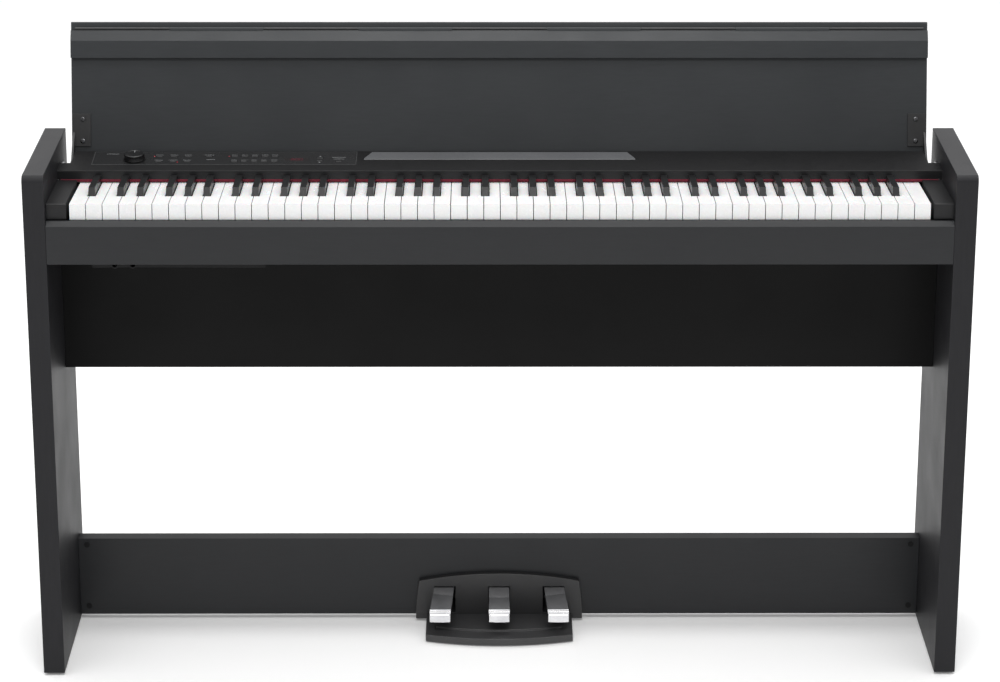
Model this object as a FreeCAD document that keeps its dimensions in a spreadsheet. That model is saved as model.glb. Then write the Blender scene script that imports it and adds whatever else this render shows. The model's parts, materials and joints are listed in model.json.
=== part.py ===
"""Digital piano on its cabinet stand, as a parametric assembly in millimetres.

The origin is on the floor under the middle of the whole object, +X is to the player's right, +Y away from the
player and +Z up. Depths are counted from the front plane of the side panels, and heights from the floor.
"""
import FreeCAD, Part
import os
import Sketcher

SIZES = {
    # whole cabinet
    "overall_width": 1355,
    "overall_depth": 351,
    "overall_height": 772,
    "panel_thick": 31,
    "panel_depth": 261,
    "panel_round": 10,
    "glide_tall": 4,
    "glide_radius": 9.5,
    "glide_setback": 26,
    # front rail, with a rebate behind its top edge for the moving key fronts
    "rail_bottom": 641,
    "rail_top": 704,
    "rail_thick": 18,
    "rail_top_thick": 12,
    "rail_rebate": 14,
    "rail_chamfer": 7,
    # key bed and the boards of the speaker box under it
    "bed_bottom": 647,
    "bed_thick": 12,
    "back_depth": 245,
    "back_thick": 6,
    "back_top": 692.5,
    "box_bottom": 433,
    "box_front": 150,
    "board_thick": 12,
    # top board behind the keys
    "lip_depth": 148,
    "lip_bottom": 725,
    "lip_top": 738,
    "lip_thick": 8,
    "top_rear_depth": 228,
    "top_rear_height": 745,
    "top_thick": 8,
    "top_slope": 5,
    "ear_notch_width": 17,
    "ear_notch_depth": 180,
    # key blocks at the ends of the keyboard
    "block_inner": 617.5,
    "block_front": 13.5,
    "block_foot": 18.5,
    "block_rear": 147,
    "block_front_top": 727.3,
    "block_rear_top": 724.3,
    "block_round": 2,
    # keyboard
    "white_pitch": 23.6,
    "white_count": 52,
    "white_gap": 1.1,
    "key_pivot_depth": 214,
    "key_pivot_height": 702,
    "key_tilt": 3,
    "key_length": 200,
    "head_length": 47.5,
    "key_rear": 66,
    "key_top": 14.3,
    "skirt": 22.8,
    "tail_skirt": 18,
    "key_wall": 2.2,
    "black_width": 10,
    "black_top_width": 9.2,
    "black_slot": 1.2,
    "black_front": 152,
    "black_back": 69.2,
    "black_rise": 12,
    "black_nose": 6,
    "lever_width": 9,
    "lever_top": 8,
    "lever_bottom": 6,
    "key_barrel": 6,
    "key_rod_radius": 2.5,
    "running_gap": 0.05,
    "foot_width": 5,
    "foot_place": 48,
    "foot_drop": 24.7,
    # hammers under the keys
    "hammer_pivot_depth": 150,
    "hammer_pivot_height": 676,
    "hammer_rod_radius": 2,
    "hammer_barrel": 4.5,
    "hammer_width": 6,
    "hammer_length": 96,
    "hammer_arm_thick": 5,
    "hammer_head_width": 10,
    "hammer_head_length": 20,
    "hammer_head_bottom": 12,
    "hammer_head_top": 4,
    "hammer_tail": 18,
    "hammer_tail_top": 3,
    # chassis, guide rail and felts of the key action
    "chassis_half": 616,
    "chassis_front": 19,
    "chassis_rear": 222,
    "chassis_thick": 3,
    "rib_thick": 3,
    "rib_front": 106,
    "rib_low_top": 690,
    "rib_post_front": 205,
    "rib_post_top": 708,
    "guide_front": 20,
    "guide_rear": 44,
    "guide_top": 690,
    "post_top": 706,
    "post_width": 12,
    "post_front": 26,
    "post_rear": 38,
    "felt_thick": 3.2,
    "front_felt": 40,
    "rest_felt_front": 56,
    "rest_felt_rear": 72,
    "rest_felt_thick": 1.7,
    "name_felt_half": 642,
    "name_felt_front": 147.3,
    "name_felt_rear": 152,
    "name_felt_bottom": 721,
    # circuit boards
    "pcb_thick": 1.6,
    "sensor_front": 110,
    "sensor_rear": 134,
    "main_pcb_half": 110,
    "main_pcb_bottom": 540,
    "main_pcb_top": 620,
    "main_pcb_standoff": 5,
    # control panel in the top board, measured along the sloping surface from the lip
    "control_left": 598,
    "control_right": 212,
    "control_front": 26,
    "control_rear": 77,
    "control_thick": 2,
    "control_ledge": 5,
    "control_pcb_drop": 9,
    "window_left": 317,
    "window_right": 281,
    "window_front": 41,
    "window_rear": 52,
    "window_thick": 1,
    "button_long": 9,
    "button_wide": 4,
    "button_gap": 0.4,
    "button_proud": 0.6,
    "button_travel": 0.8,
    "sound_first": 391.2,
    "sound_pitch": 14.8,
    "function_first": 502,
    "function_pitch": 21,
    "bank_place": 429,
    "demo_place": 237,
    "arrow_place": 265,
    "front_row": 38,
    "rear_row": 59,
    "arrow_front_row": 41,
    "arrow_rear_row": 52,
    "knob_place": 538,
    "knob_row": 45,
    "knob_radius": 15,
    "knob_top_radius": 14,
    "knob_tall": 10.4,
    "knob_float": 0.4,
    "shaft_radius": 3,
    "shaft_tall": 7,
    "pot_half": 8,
    # music ledge, flush in the top board
    "ledge_front": 46,
    "ledge_length": 31,
    "ledge_front_half": 202,
    "ledge_rear_half": 189,
    "ledge_thick": 3.6,
    "ledge_gap": 0.5,
    "ledge_nose_short": 1.9,
    "ledge_pin_radius": 0.9,
    "ledge_pin_long": 3,
    # lid, in its own frame: pivot at the origin, height along the lid, standing straight up
    "lid_pivot_depth": 212,
    "lid_pivot_height": 728,
    "lid_lean": 14,
    "lid_half": 636,
    "lid_face": 27,
    "lid_thick": 17,
    "lid_tail": 24,
    "lid_reach": 212,
    "lid_round": 2,
    "flap_hinge_up": 202,
    "flap_hinge_face": 24.5,
    "flap_bottom": 158.7,
    "flap_top": 199.4,
    "flap_knee": 183.9,
    "flap_back": 26.4,
    "flap_face": 18.5,
    "flap_tip_face": 23,
    "flap_rod_radius": 1.25,
    "flap_barrel": 2.1,
    "flap_rod_half": 629.5,
    "lug_half": 69.5,
    "lug_pitch": 280,
    "knuckle_half": 69.5,
    # brackets and pins of the lid
    "bracket_inner": 607.5,
    "bracket_outer": 634.5,
    "bracket_thick": 2.5,
    "bracket_low": 27.3,
    "bracket_high": 75.8,
    "ear_thick": 3.2,
    "ear_radius": 7,
    "ear_root_low": 14,
    "ear_root_high": 48,
    "pin_radius": 3,
    "pin_inner": 630,
    "collar_radius": 6,
    "collar_thick": 2,
    "screw_radius": 3.6,
    "screw_tall": 1.6,
    "screw_inset": 8,
    # speakers
    "speaker_place": 430,
    "speaker_depth": 204,
    "speaker_hole": 33,
    "speaker_frame": 38,
    "speaker_frame_thick": 3,
    "cone_deep": 16,
    "cone_small": 14,
    "magnet_radius": 22,
    "magnet_tall": 16,
    "grille_radius": 42,
    "grille_thick": 2,
    "grille_hole": 2.6,
    "grille_ring": 9.5,
    # jack box under the key bed, and the power inlet, whose housing stands out behind the back panel
    "jack_left": 584,
    "jack_right": 336,
    "jack_bottom": 630.5,
    "jack_front": 19,
    "jack_rear": 69,
    "jack_bore": 3.25,
    "jack_bore_deep": 30,
    "jack_place": 552,
    "jack_pitch": 26,
    "jack_height": 635.6,
    "jack_nut": 4.8,
    "jack_nut_tall": 1.5,
    "inlet_place": 520,
    "inlet_height": 672,
    "inlet_half_wide": 11,
    "inlet_half_tall": 8,
    "inlet_flange": 11,
    "inlet_body_half": 6,
    "inlet_body_deep": 12,
    "inlet_bore": 2.85,
    "inlet_bore_deep": 10,
    # pedal board and its cover caps
    "pedal_board_front": 204,
    "pedal_board_rear": 226,
    "pedal_board_bottom": 9,
    "pedal_board_top": 135,
    "cap_radius": 4.5,
    "cap_thick": 1,
    "cap_place": 633,
    "cap_high": 125,
    "cap_low": 23,
    # pedal unit
    "flange_half": 128.3,
    "flange_side_radius": 377,
    "flange_front": 194.5,
    "flange_bottom": 5,
    "flange_end_top": 67,
    "flange_middle_top": 80,
    "unit_half": 105,
    "unit_bottom": 13,
    "unit_top": 64,
    "unit_rear": 252,
    "unit_wall": 2.5,
    "pedal_pitch": 79.7,
    "pedal_splay": 10.7,
    "slot_pitch": 83.6,
    "pedal_slot": 16.2,
    "slot_top": 59,
    "pedal_rib": 3,
    "pedal_pivot_depth": 236,
    "pedal_pivot_height": 50,
    "pedal_rod_radius": 3,
    "pedal_barrel": 6,
    "pedal_top": 8,
    "pedal_thick": 10,
    "pedal_tail": 7,
    "pedal_bend": 51,
    "pedal_toe": 111,
    "pedal_toe_top": 3.5,
    "pedal_nose": 20.5,
    "pedal_nose_thick": 9,
    "pedal_rear_half": 14.5,
    "pedal_toe_half": 16,
    "pedal_toe_round": 3.5,
    "pedal_toe_bow": 80,
    # base plate in front of the pedal unit
    "base_half": 112,
    "base_corner_depth": 117,
    "base_front_depth": 100,
    "base_bottom": 2,
    "base_groove": 2.5,
    "base_groove_wide": 12,
    "base_groove_inset": 22,
    "base_groove_half": 97,
    "base_pad_radius": 9,
    "base_pad_place": 85,
    "base_pad_depth": 130,
    # anti-tip feet behind the side panels
    "tip_inner": 661,
    "tip_plate_inner": 650,
    "tip_plate_thick": 3,
    "tip_plate_top": 86,
    "tip_bar_bottom": 3,
    "tip_bar_thick": 3,
    "tip_web_tall": 34,
    "tip_web_long": 46,
    "tip_pad_long": 18,
}

OCTAVE = ["c", "c_sharp", "d", "d_sharp", "e", "f", "f_sharp", "g", "g_sharp", "a", "a_sharp", "b"]
FIRST_NOTE = 9
NOTE_COUNT = 88
# how far each black key stands from the joint of the two white keys that it lies between
BLACK_SHIFT = {"c_sharp": -2.6, "d_sharp": 2.2, "f_sharp": -3.5, "g_sharp": 0.0, "a_sharp": 3.1}
SINGLE_KEYS = ["c4", "c_sharp4", "d4", "d_sharp4", "e4"]

doc = FreeCAD.newDocument("digital_piano")
sheet = doc.addObject("Spreadsheet::Sheet", "sizes")
kept = []


class Size:
    """A length or an angle: its number, and the sheet expression that gives it."""

    def __init__(self, text, value):
        self.text = text
        self.value = value

    def __add__(self, other):
        other = as_size(other)
        return Size(f"({self.text} + {other.text})", self.value + other.value)

    def __sub__(self, other):
        other = as_size(other)
        return Size(f"({self.text} - {other.text})", self.value - other.value)

    def __mul__(self, number):
        return Size(f"({self.text} * ({number}))", self.value * number)

    def __truediv__(self, number):
        return Size(f"({self.text} / {number})", self.value / number)

    def __neg__(self):
        return Size(f"(-{self.text})", -self.value)

    __radd__ = __add__
    __rmul__ = __mul__

    def __rsub__(self, other):
        return as_size(other) - self


def as_size(number):
    """A plain number as a Size; a Size is left as it is."""
    if isinstance(number, Size):
        return number
    return Size(f"({number})", number)


class Sizes:
    """Every aliased cell of the sheet, as an attribute of this object."""

    def __init__(self, table):
        for row, (alias, value) in enumerate(table.items(), start=1):
            sheet.set(f"A{row}", alias.replace("_", " "))
            sheet.set(f"B{row}", str(value))
            sheet.setAlias(f"B{row}", alias)
            setattr(self, alias, Size(f"sizes.{alias}", value))


s = Sizes(SIZES)
doc.recompute()

INNER = s.overall_width / 2 - s.panel_thick
BED_TOP = s.bed_bottom + s.bed_thick


def y(depth):
    """The Y of a depth counted from the front plane of the side panels."""
    return as_size(depth) - s.overall_depth / 2


def bind(obj, prop, size):
    obj.setExpression(prop, as_size(size).text)


def place(obj, x_at, y_at, z_at):
    bind(obj, "Placement.Base.x", x_at)
    bind(obj, "Placement.Base.y", y_at)
    bind(obj, "Placement.Base.z", z_at)


def tilt(obj, y_at, z_at, angle):
    """Turns an object by an angle about the X line through its own origin, which goes to y_at and z_at."""
    obj.Placement = FreeCAD.Placement(FreeCAD.Vector(), FreeCAD.Rotation(FreeCAD.Vector(1, 0, 0), 1))
    place(obj, 0, y_at, z_at)
    bind(obj, "Placement.Rotation.Angle", angle)
    return obj


def box(name, x_span, y_span, z_span):
    obj = doc.addObject("Part::Box", name)
    spans = [(as_size(low), as_size(high)) for low, high in (x_span, y_span, z_span)]
    for prop, (low, high) in zip(("Length", "Width", "Height"), spans):
        bind(obj, prop, high - low)
    place(obj, *(low for low, high in spans))
    return obj


def cylinder(name, axis, centre, span, radius):
    """A cylinder along x, y or z; centre gives the other two coordinates, in order."""
    obj = doc.addObject("Part::Cylinder", name)
    low, high = as_size(span[0]), as_size(span[1])
    bind(obj, "Radius", radius)
    bind(obj, "Height", high - low)
    if axis == "x":
        obj.Placement.Rotation = FreeCAD.Rotation(FreeCAD.Vector(0, 1, 0), 90)
        place(obj, low, centre[0], centre[1])
    elif axis == "y":
        obj.Placement.Rotation = FreeCAD.Rotation(FreeCAD.Vector(1, 0, 0), -90)
        place(obj, centre[0], low, centre[1])
    else:
        place(obj, centre[0], centre[1], low)
    return obj


def fuse(name, shapes):
    obj = doc.addObject("Part::MultiFuse", name)
    obj.Shapes = shapes
    obj.Refine = True
    return obj


def cut(name, base, tools):
    obj = doc.addObject("Part::Cut", name)
    obj.Base = base
    obj.Tool = tools[0] if len(tools) == 1 else fuse(name + "_tools", tools)
    obj.Refine = True
    return obj


def common(name, first, second):
    obj = doc.addObject("Part::Common", name)
    obj.Base = first
    obj.Tool = second
    return obj


def group(name, shapes):
    """Separate solids that share one node."""
    obj = doc.addObject("Part::Compound", name)
    obj.Links = shapes
    return obj


def mirror(name, source):
    """The same shape on the other side of the middle plane."""
    obj = doc.addObject("Part::Mirroring", name)
    obj.Source = source
    obj.Normal = FreeCAD.Vector(1, 0, 0)
    return obj


def pair(name, source):
    """A shape and its mirror image, as one node of two solids."""
    return group(name, [source, mirror(name + "_mirrored", source)])


def keep(label, obj):
    """Marks an object as a finished sub-part under its node name."""
    obj.Label = label
    kept.append(obj)
    return obj


def sketch_on(body, role, name, points, offset=0):
    """A closed outline of straight lines on one of a body's own planes, each corner bound to the sheet."""
    plane = [p for p in body.Origin.OriginFeatures if p.Role == role][0]
    sketch = body.newObject("Sketcher::SketchObject", name)
    sketch.AttachmentSupport = [(plane, "")]
    sketch.MapMode = "FlatFace"
    bind(sketch, "AttachmentOffset.Base.z", offset)
    corners = [(as_size(u), as_size(v)) for u, v in points]
    vectors = [FreeCAD.Vector(u.value, v.value, 0) for u, v in corners]
    count = len(vectors)
    for index in range(count):
        sketch.addGeometry(Part.LineSegment(vectors[index], vectors[(index + 1) % count]), False)
    for index in range(count):
        sketch.addConstraint(Sketcher.Constraint("Coincident", index, 2, (index + 1) % count, 1))
    for index, (u, v) in enumerate(corners):
        for kind, size in (("DistanceX", u), ("DistanceY", v)):
            number = sketch.addConstraint(Sketcher.Constraint(kind, -1, 1, index, 1, size.value))
            sketch.renameConstraint(number, f"{kind}{index}")
            bind(sketch, f"Constraints.{kind}{index}", size)
    return sketch


def profile(name, points, x_span, rounds=()):
    """A body of constant section along X; points are (y, z). rounds gives (corner number, radius) pairs."""
    body = doc.addObject("PartDesign::Body", name)
    low, high = as_size(x_span[0]), as_size(x_span[1])
    sketch = sketch_on(body, "YZ_Plane", name + "_outline", points, low)
    pad = body.newObject("PartDesign::Pad", name + "_pad")
    pad.Profile = sketch
    bind(pad, "Length", high - low)
    return rounded(body, pad, points, 0, rounds)


def plate(name, points, z_span, rounds=()):
    """A body of constant section along Z; points are (x, y). rounds gives (corner number, radius) pairs."""
    body = doc.addObject("PartDesign::Body", name)
    low, high = as_size(z_span[0]), as_size(z_span[1])
    sketch = sketch_on(body, "XY_Plane", name + "_outline", points, low)
    pad = body.newObject("PartDesign::Pad", name + "_pad")
    pad.Profile = sketch
    bind(pad, "Length", high - low)
    return rounded(body, pad, points, 2, rounds)


def rounded(body, last, points, along, rounds):
    """Rounds the long edges of a padded body at the numbered corners of its outline."""
    across = [axis for axis in range(3) if axis != along]
    for corner, radius in rounds:
        doc.recompute()
        target = [as_size(value).value for value in points[corner]]
        names = []
        for number, edge in enumerate(last.Shape.Edges, start=1):
            ends = [vertex.Point for vertex in edge.Vertexes]
            near = [max(abs(end[axis] - want) for axis, want in zip(across, target)) < 0.01 for end in ends]
            if len(ends) == 2 and all(near):
                names.append(f"Edge{number}")
        fillet = body.newObject("PartDesign::Fillet", f"{body.Name}_round{corner}")
        fillet.Base = (last, names)
        bind(fillet, "Radius", radius)
        last = fillet
    body.Tip = last
    return body


# ---------------------------------------------------------------- cabinet


def side_panels():
    outline = [
        (y(0), s.glide_tall),
        (y(0), s.overall_height),
        (y(s.panel_depth), s.overall_height),
        (y(s.panel_depth), s.glide_tall),
    ]
    left = profile("panel_left", outline, (-s.overall_width / 2, -INNER), [(1, s.panel_round)])
    keep("side_panel_left", left)
    right = profile("panel_right", outline, (INNER, s.overall_width / 2), [(1, s.panel_round)])
    keep("side_panel_right", right)
    middle = s.overall_width / 2 - s.panel_thick / 2
    glides = []
    for number, side in enumerate((-1, 1)):
        for row, depth in enumerate((s.glide_setback, s.panel_depth - s.glide_setback)):
            centre = (middle * side, y(depth))
            glides.append(cylinder(f"glide{number}{row}", "z", centre, (0, s.glide_tall), s.glide_radius))
    keep("glide_feet", group("glides", glides))


def front_rail():
    rebate = s.rail_top - s.rail_rebate
    outline = [
        (y(0), s.rail_bottom),
        (y(0), s.rail_top - s.rail_chamfer),
        (y(s.rail_chamfer), s.rail_top),
        (y(s.rail_top_thick), s.rail_top),
        (y(s.rail_top_thick), rebate),
        (y(s.rail_thick), rebate),
        (y(s.rail_thick), s.rail_bottom),
    ]
    keep("front_rail", profile("rail", outline, (-INNER, INNER)))


def speaker_box():
    across = (-INNER, INNER)
    floor_top = s.box_bottom + s.board_thick
    keep("key_bed", box("bed", across, (y(s.rail_thick), y(s.back_depth)), (s.bed_bottom, BED_TOP)))
    front = (y(s.box_front), y(s.box_front + s.board_thick))
    keep("speaker_front_board", box("box_front_board", across, front, (s.box_bottom, s.bed_bottom)))
    floor = box("box_floor", across, (y(s.box_front + s.board_thick), y(s.back_depth)), (s.box_bottom, floor_top))
    holes = []
    for side in (-1, 1):
        centre = (s.speaker_place * side, y(s.speaker_depth))
        holes.append(cylinder("speaker_hole", "z", centre, (s.box_bottom - 1, floor_top + 1), s.speaker_hole))
    keep("speaker_bottom_board", cut("box_floor_cut", floor, holes))
    back = box("back", across, (y(s.back_depth), y(s.back_depth + s.back_thick)), (s.box_bottom, s.back_top))
    half = s.inlet_body_half + s.button_gap
    inlet = box(
        "inlet_window",
        (s.inlet_place - half, s.inlet_place + half),
        (y(s.back_depth - 1), y(s.back_depth + s.back_thick + 1)),
        (s.inlet_height - half, s.inlet_height + half),
    )
    keep("rear_panel", cut("back_cut", back, [inlet]))


def key_blocks():
    outline = [
        (y(s.block_foot), BED_TOP),
        (y(s.block_foot), s.rail_top),
        (y(s.block_front), s.rail_top),
        (y(s.block_front), s.block_front_top),
        (y(s.block_rear), s.block_rear_top),
        (y(s.block_rear), BED_TOP),
    ]
    block = profile("block", outline, (s.block_inner, INNER), [(3, s.block_round)])
    keep("key_blocks", pair("blocks", block))


def pedal_board():
    depths = (y(s.pedal_board_front), y(s.pedal_board_rear))
    board = box("lower_board", (-INNER, INNER), depths, (s.pedal_board_bottom, s.pedal_board_top))
    window = box(
        "unit_window",
        (-s.unit_half, s.unit_half),
        (y(s.pedal_board_front - 1), y(s.pedal_board_rear + 1)),
        (s.pedal_board_bottom - 1, s.unit_top),
    )
    keep("pedal_board", cut("lower_board_cut", board, [window]))
    caps = []
    for height in (s.cap_low, s.cap_high):
        span = (y(s.pedal_board_front - s.cap_thick), y(s.pedal_board_front))
        caps.append(cylinder("cap", "y", (s.cap_place, height), span, s.cap_radius))
    keep("cam_covers", group("caps", caps + [mirror("cap_mirrored", cap) for cap in caps]))


def anti_tip_feet():
    plate_rear = s.panel_depth + s.tip_plate_thick
    outer = s.overall_width / 2
    bar_top = s.tip_bar_bottom + s.tip_bar_thick
    back_plate = box(
        "tip_plate",
        (s.tip_plate_inner, outer - 1),
        (y(s.panel_depth), y(plate_rear)),
        (s.tip_bar_bottom, s.tip_plate_top),
    )
    bar = box("tip_bar", (s.tip_inner, outer - 1), (y(s.panel_depth), y(s.overall_depth)), (s.tip_bar_bottom, bar_top))
    web_outline = [
        (y(s.panel_depth + 1), s.tip_bar_bottom + 1),
        (y(s.panel_depth + 1), bar_top + s.tip_web_tall),
        (y(plate_rear), bar_top + s.tip_web_tall),
        (y(plate_rear + s.tip_web_long), bar_top),
        (y(plate_rear + s.tip_web_long), s.tip_bar_bottom + 1),
    ]
    web = profile("tip_web", web_outline, (outer - 1 - s.tip_plate_thick, outer - 1))
    pad_depths = (y(s.overall_depth - s.tip_pad_long), y(s.overall_depth))
    pad = box("tip_pad", (s.tip_inner + 1, outer - 2), pad_depths, (0, s.tip_bar_bottom + 1))
    keep("anti_tip_feet", pair("tips", fuse("tip", [back_plate, bar, web, pad])))


# ---------------------------------------------------------------- keyboard


def notes():
    """Each note of the keyboard: its name, whether it is black, and the white keys before it."""
    found = []
    whites = 0
    for number in range(FIRST_NOTE, FIRST_NOTE + NOTE_COUNT):
        step = OCTAVE[number % len(OCTAVE)]
        octave = number // len(OCTAVE)
        black = step in BLACK_SHIFT
        found.append((f"{step}{octave}", black, whites))
        if not black:
            whites += 1
    return found


def joint_x(index):
    """The X of the joint at the left of white key number index, from 0."""
    return s.white_pitch * (index - SIZES["white_count"] / 2)


def black_x(step, index):
    return joint_x(index) + BLACK_SHIFT[step]


def step_of(name):
    return name.rstrip("0123456789")


def white_tail(all_notes, place_in_list):
    """The left and right X of a white key's tail, which narrows beside each black key."""
    name, black, index = all_notes[place_in_list]
    side = s.black_width / 2 + s.black_slot
    left = joint_x(index) + s.white_gap / 2
    right = joint_x(index + 1) - s.white_gap / 2
    if place_in_list > 0 and all_notes[place_in_list - 1][1]:
        left = black_x(step_of(all_notes[place_in_list - 1][0]), index) + side
    if place_in_list + 1 < len(all_notes) and all_notes[place_in_list + 1][1]:
        right = black_x(step_of(all_notes[place_in_list + 1][0]), index + 1) - side
    return left, right


def lever(name, middle):
    """The hidden rear of a key: the lever, its pivot barrel and the foot that works the hammer."""
    half = s.lever_width / 2
    arm = box(name + "_arm", (middle - half, middle + half), (-s.key_rear - 4, 0), (-s.lever_bottom, s.lever_top))
    barrel = cylinder(name + "_barrel", "x", (0, 0), (middle - half, middle + half), s.key_barrel)
    foot_half = s.foot_width / 2
    foot = box(
        name + "_foot",
        (middle - foot_half, middle + foot_half),
        (-s.foot_place - 2, -s.foot_place + 2),
        (-s.foot_drop, 0),
    )
    return [arm, barrel, foot]


def bore(name, middle, radius):
    reach = s.lever_width
    return cylinder(name + "_bore", "x", (0, 0), (middle - reach, middle + reach), radius + s.running_gap)


def white_key(name, index, tail):
    """A hollow white key about its pivot: a wide head, a tail that narrows beside the black keys, and its lever."""
    left = joint_x(index) + s.white_gap / 2
    right = joint_x(index + 1) - s.white_gap / 2
    head_rear = s.head_length - s.key_length
    middle = (tail[0] + tail[1]) / 2
    head = box(name + "_head", (left, right), (-s.key_length, head_rear), (s.key_top - s.skirt, s.key_top))
    body = box(name + "_tail", tail, (head_rear - 1, -s.key_rear), (s.key_top - s.tail_skirt, s.key_top))
    whole = fuse(name + "_whole", [head, body] + lever(name, middle))
    under = s.key_top - s.key_wall
    hollow_head = box(
        name + "_head_hollow",
        (left + s.key_wall, right - s.key_wall),
        (s.key_wall - s.key_length, head_rear - s.key_wall),
        (s.key_top - s.skirt - 1, under),
    )
    hollow_tail = box(
        name + "_tail_hollow",
        (tail[0] + s.key_wall, tail[1] - s.key_wall),
        (head_rear - s.key_wall - 1, -s.key_rear - 5),
        (s.key_top - s.skirt - 1, under),
    )
    return cut(name + "_key", whole, [hollow_head, hollow_tail, bore(name, middle, s.key_rod_radius)])


def black_key(name, middle):
    """A hollow black key about its pivot, with a sloping nose and sides that lean in."""
    half = s.black_width / 2
    bottom = s.key_top - s.tail_skirt
    cap = doc.addObject("Part::Wedge", name + "_cap")
    cap.Placement.Rotation = FreeCAD.Rotation(FreeCAD.Vector(1, 0, 0), 90)
    place(cap, middle, 0, 0)
    limits = {
        "Xmin": -half,
        "Xmax": half,
        "X2min": -s.black_top_width / 2,
        "X2max": s.black_top_width / 2,
        "Ymin": s.key_top - 2,
        "Ymax": s.key_top + s.black_rise,
        "Zmin": s.black_back,
        "Zmax": s.black_front,
        "Z2min": s.black_back,
        "Z2max": s.black_front - s.black_nose,
    }
    for prop, size in limits.items():
        bind(cap, prop, size)
    depths = (-s.black_front, -s.black_back)
    body = box(name + "_body", (middle - half, middle + half), depths, (bottom, s.key_top - 1))
    whole = fuse(name + "_whole", [cap, body] + lever(name, middle))
    hollow = box(
        name + "_hollow",
        (middle - half + s.key_wall, middle + half - s.key_wall),
        (s.key_wall - s.black_front, -s.black_back - 5),
        (bottom - 1, s.key_top - s.key_wall),
    )
    return cut(name + "_key", whole, [hollow, bore(name, middle, s.key_rod_radius)])


def hammer(name, middle):
    """A hammer about its pivot: a weighted head at the front and a short tail under the key's foot."""
    half = s.hammer_width / 2
    head_half = s.hammer_head_width / 2
    arm = box(name + "_hammer_arm", (middle - half, middle + half), (-s.hammer_length, 0), (-s.hammer_arm_thick, 0))
    head = box(
        name + "_hammer_head",
        (middle - head_half, middle + head_half),
        (-s.hammer_length, s.hammer_head_length - s.hammer_length),
        (-s.hammer_head_bottom, -s.hammer_head_top),
    )
    barrel = cylinder(name + "_hammer_barrel", "x", (0, 0), (middle - half, middle + half), s.hammer_barrel)
    tail = box(name + "_hammer_tail", (middle - half, middle + half), (0, s.hammer_tail), (-1, s.hammer_tail_top))
    whole = fuse(name + "_hammer_whole", [arm, head, barrel, tail])
    return cut(name + "_hammer", whole, [bore(name + "_hammer", middle, s.hammer_rod_radius)])


def keyboard():
    """All keys and hammers: five notes in the middle on their own, and the rest in groups."""
    all_notes = notes()
    groups = {}
    hammers = {}
    region = "low"
    for position, (name, black, index) in enumerate(all_notes):
        if name in SINGLE_KEYS:
            region = "high"
            key_node = "key_" + name
            hammer_node = "hammer_" + name
        else:
            key_node = f"{'black' if black else 'white'}_keys_{region}"
            hammer_node = f"hammers_{region}"
        if black:
            middle = black_x(step_of(name), index)
            key = black_key(name, middle)
        else:
            tail = white_tail(all_notes, position)
            middle = (tail[0] + tail[1]) / 2
            key = white_key(name, index, tail)
        groups.setdefault(key_node, []).append(key)
        hammers.setdefault(hammer_node, []).append(hammer(name, middle))
    for node, keys in groups.items():
        keep(node, tilt(group(node + "_set", keys), y(s.key_pivot_depth), s.key_pivot_height, -s.key_tilt))
    for node, parts in hammers.items():
        keep(node, tilt(group(node + "_set", parts), y(s.hammer_pivot_depth), s.hammer_pivot_height, 0))


def rib_places():
    """The X of each chassis rib: both ends, and the joint below every C, where the levers stand furthest apart."""
    edge = s.white_pitch * (SIZES["white_count"] / 2) - s.rib_thick / 2
    inside = [joint_x(index) for name, black, index in notes() if step_of(name) == "c"]
    return [-edge] + inside + [edge]


def key_action_frame():
    base_top = BED_TOP + s.chassis_thick
    across = (-s.chassis_half, s.chassis_half)
    base = box("chassis_base", across, (y(s.chassis_front), y(s.chassis_rear)), (BED_TOP, base_top))
    outline = [
        (y(s.rib_front), BED_TOP + 1),
        (y(s.rib_front), s.rib_low_top),
        (y(s.rib_post_front), s.rib_low_top),
        (y(s.rib_post_front), s.rib_post_top),
        (y(s.chassis_rear), s.rib_post_top),
        (y(s.chassis_rear), BED_TOP + 1),
    ]
    half = s.rib_thick / 2
    ribs = [profile(f"rib{n}", outline, (at - half, at + half)) for n, at in enumerate(rib_places())]
    rod_span = (-s.chassis_half, s.chassis_half)
    key_line = (y(s.key_pivot_depth), s.key_pivot_height)
    hammer_line = (y(s.hammer_pivot_depth), s.hammer_pivot_height)
    holes = [
        cylinder("key_rod_hole", "x", key_line, rod_span, s.key_rod_radius),
        cylinder("hammer_rod_hole", "x", hammer_line, rod_span, s.hammer_rod_radius),
    ]
    keep("key_chassis", cut("chassis", fuse("chassis_whole", [base] + ribs), holes))
    rods = [
        cylinder("key_rod", "x", key_line, rod_span, s.key_rod_radius),
        cylinder("hammer_rod", "x", hammer_line, rod_span, s.hammer_rod_radius),
    ]
    keep("action_rods", group("rods", rods))


def key_guides():
    base_top = BED_TOP + s.chassis_thick
    span = s.white_pitch * (SIZES["white_count"] / 2)
    pieces = [box("guide_bar", (-span, span), (y(s.guide_front), y(s.guide_rear)), (base_top, s.guide_top))]
    half = s.post_width / 2
    for index in range(SIZES["white_count"]):
        middle = joint_x(index) + s.white_pitch / 2
        depths = (y(s.post_front), y(s.post_rear))
        pieces.append(box("post", (middle - half, middle + half), depths, (s.guide_top - 1, s.post_top)))
    keep("key_guide_rail", fuse("guides", pieces))
    felts = [
        box(
            "front_felt_strip",
            (-span, span),
            (y(s.front_felt), y(s.guide_rear)),
            (s.guide_top, s.guide_top + s.felt_thick),
        ),
        box(
            "rest_felt_strip",
            (-span, span),
            (y(s.rest_felt_front), y(s.rest_felt_rear)),
            (base_top, base_top + s.rest_felt_thick),
        ),
    ]
    keep("action_felts", group("felts", felts))
    red = box(
        "red_strip",
        (-s.name_felt_half, s.name_felt_half),
        (y(s.name_felt_front), y(s.name_felt_rear)),
        (s.name_felt_bottom, s.lip_bottom),
    )
    keep("name_felt", red)


# ---------------------------------------------------------------- top board and controls


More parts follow.
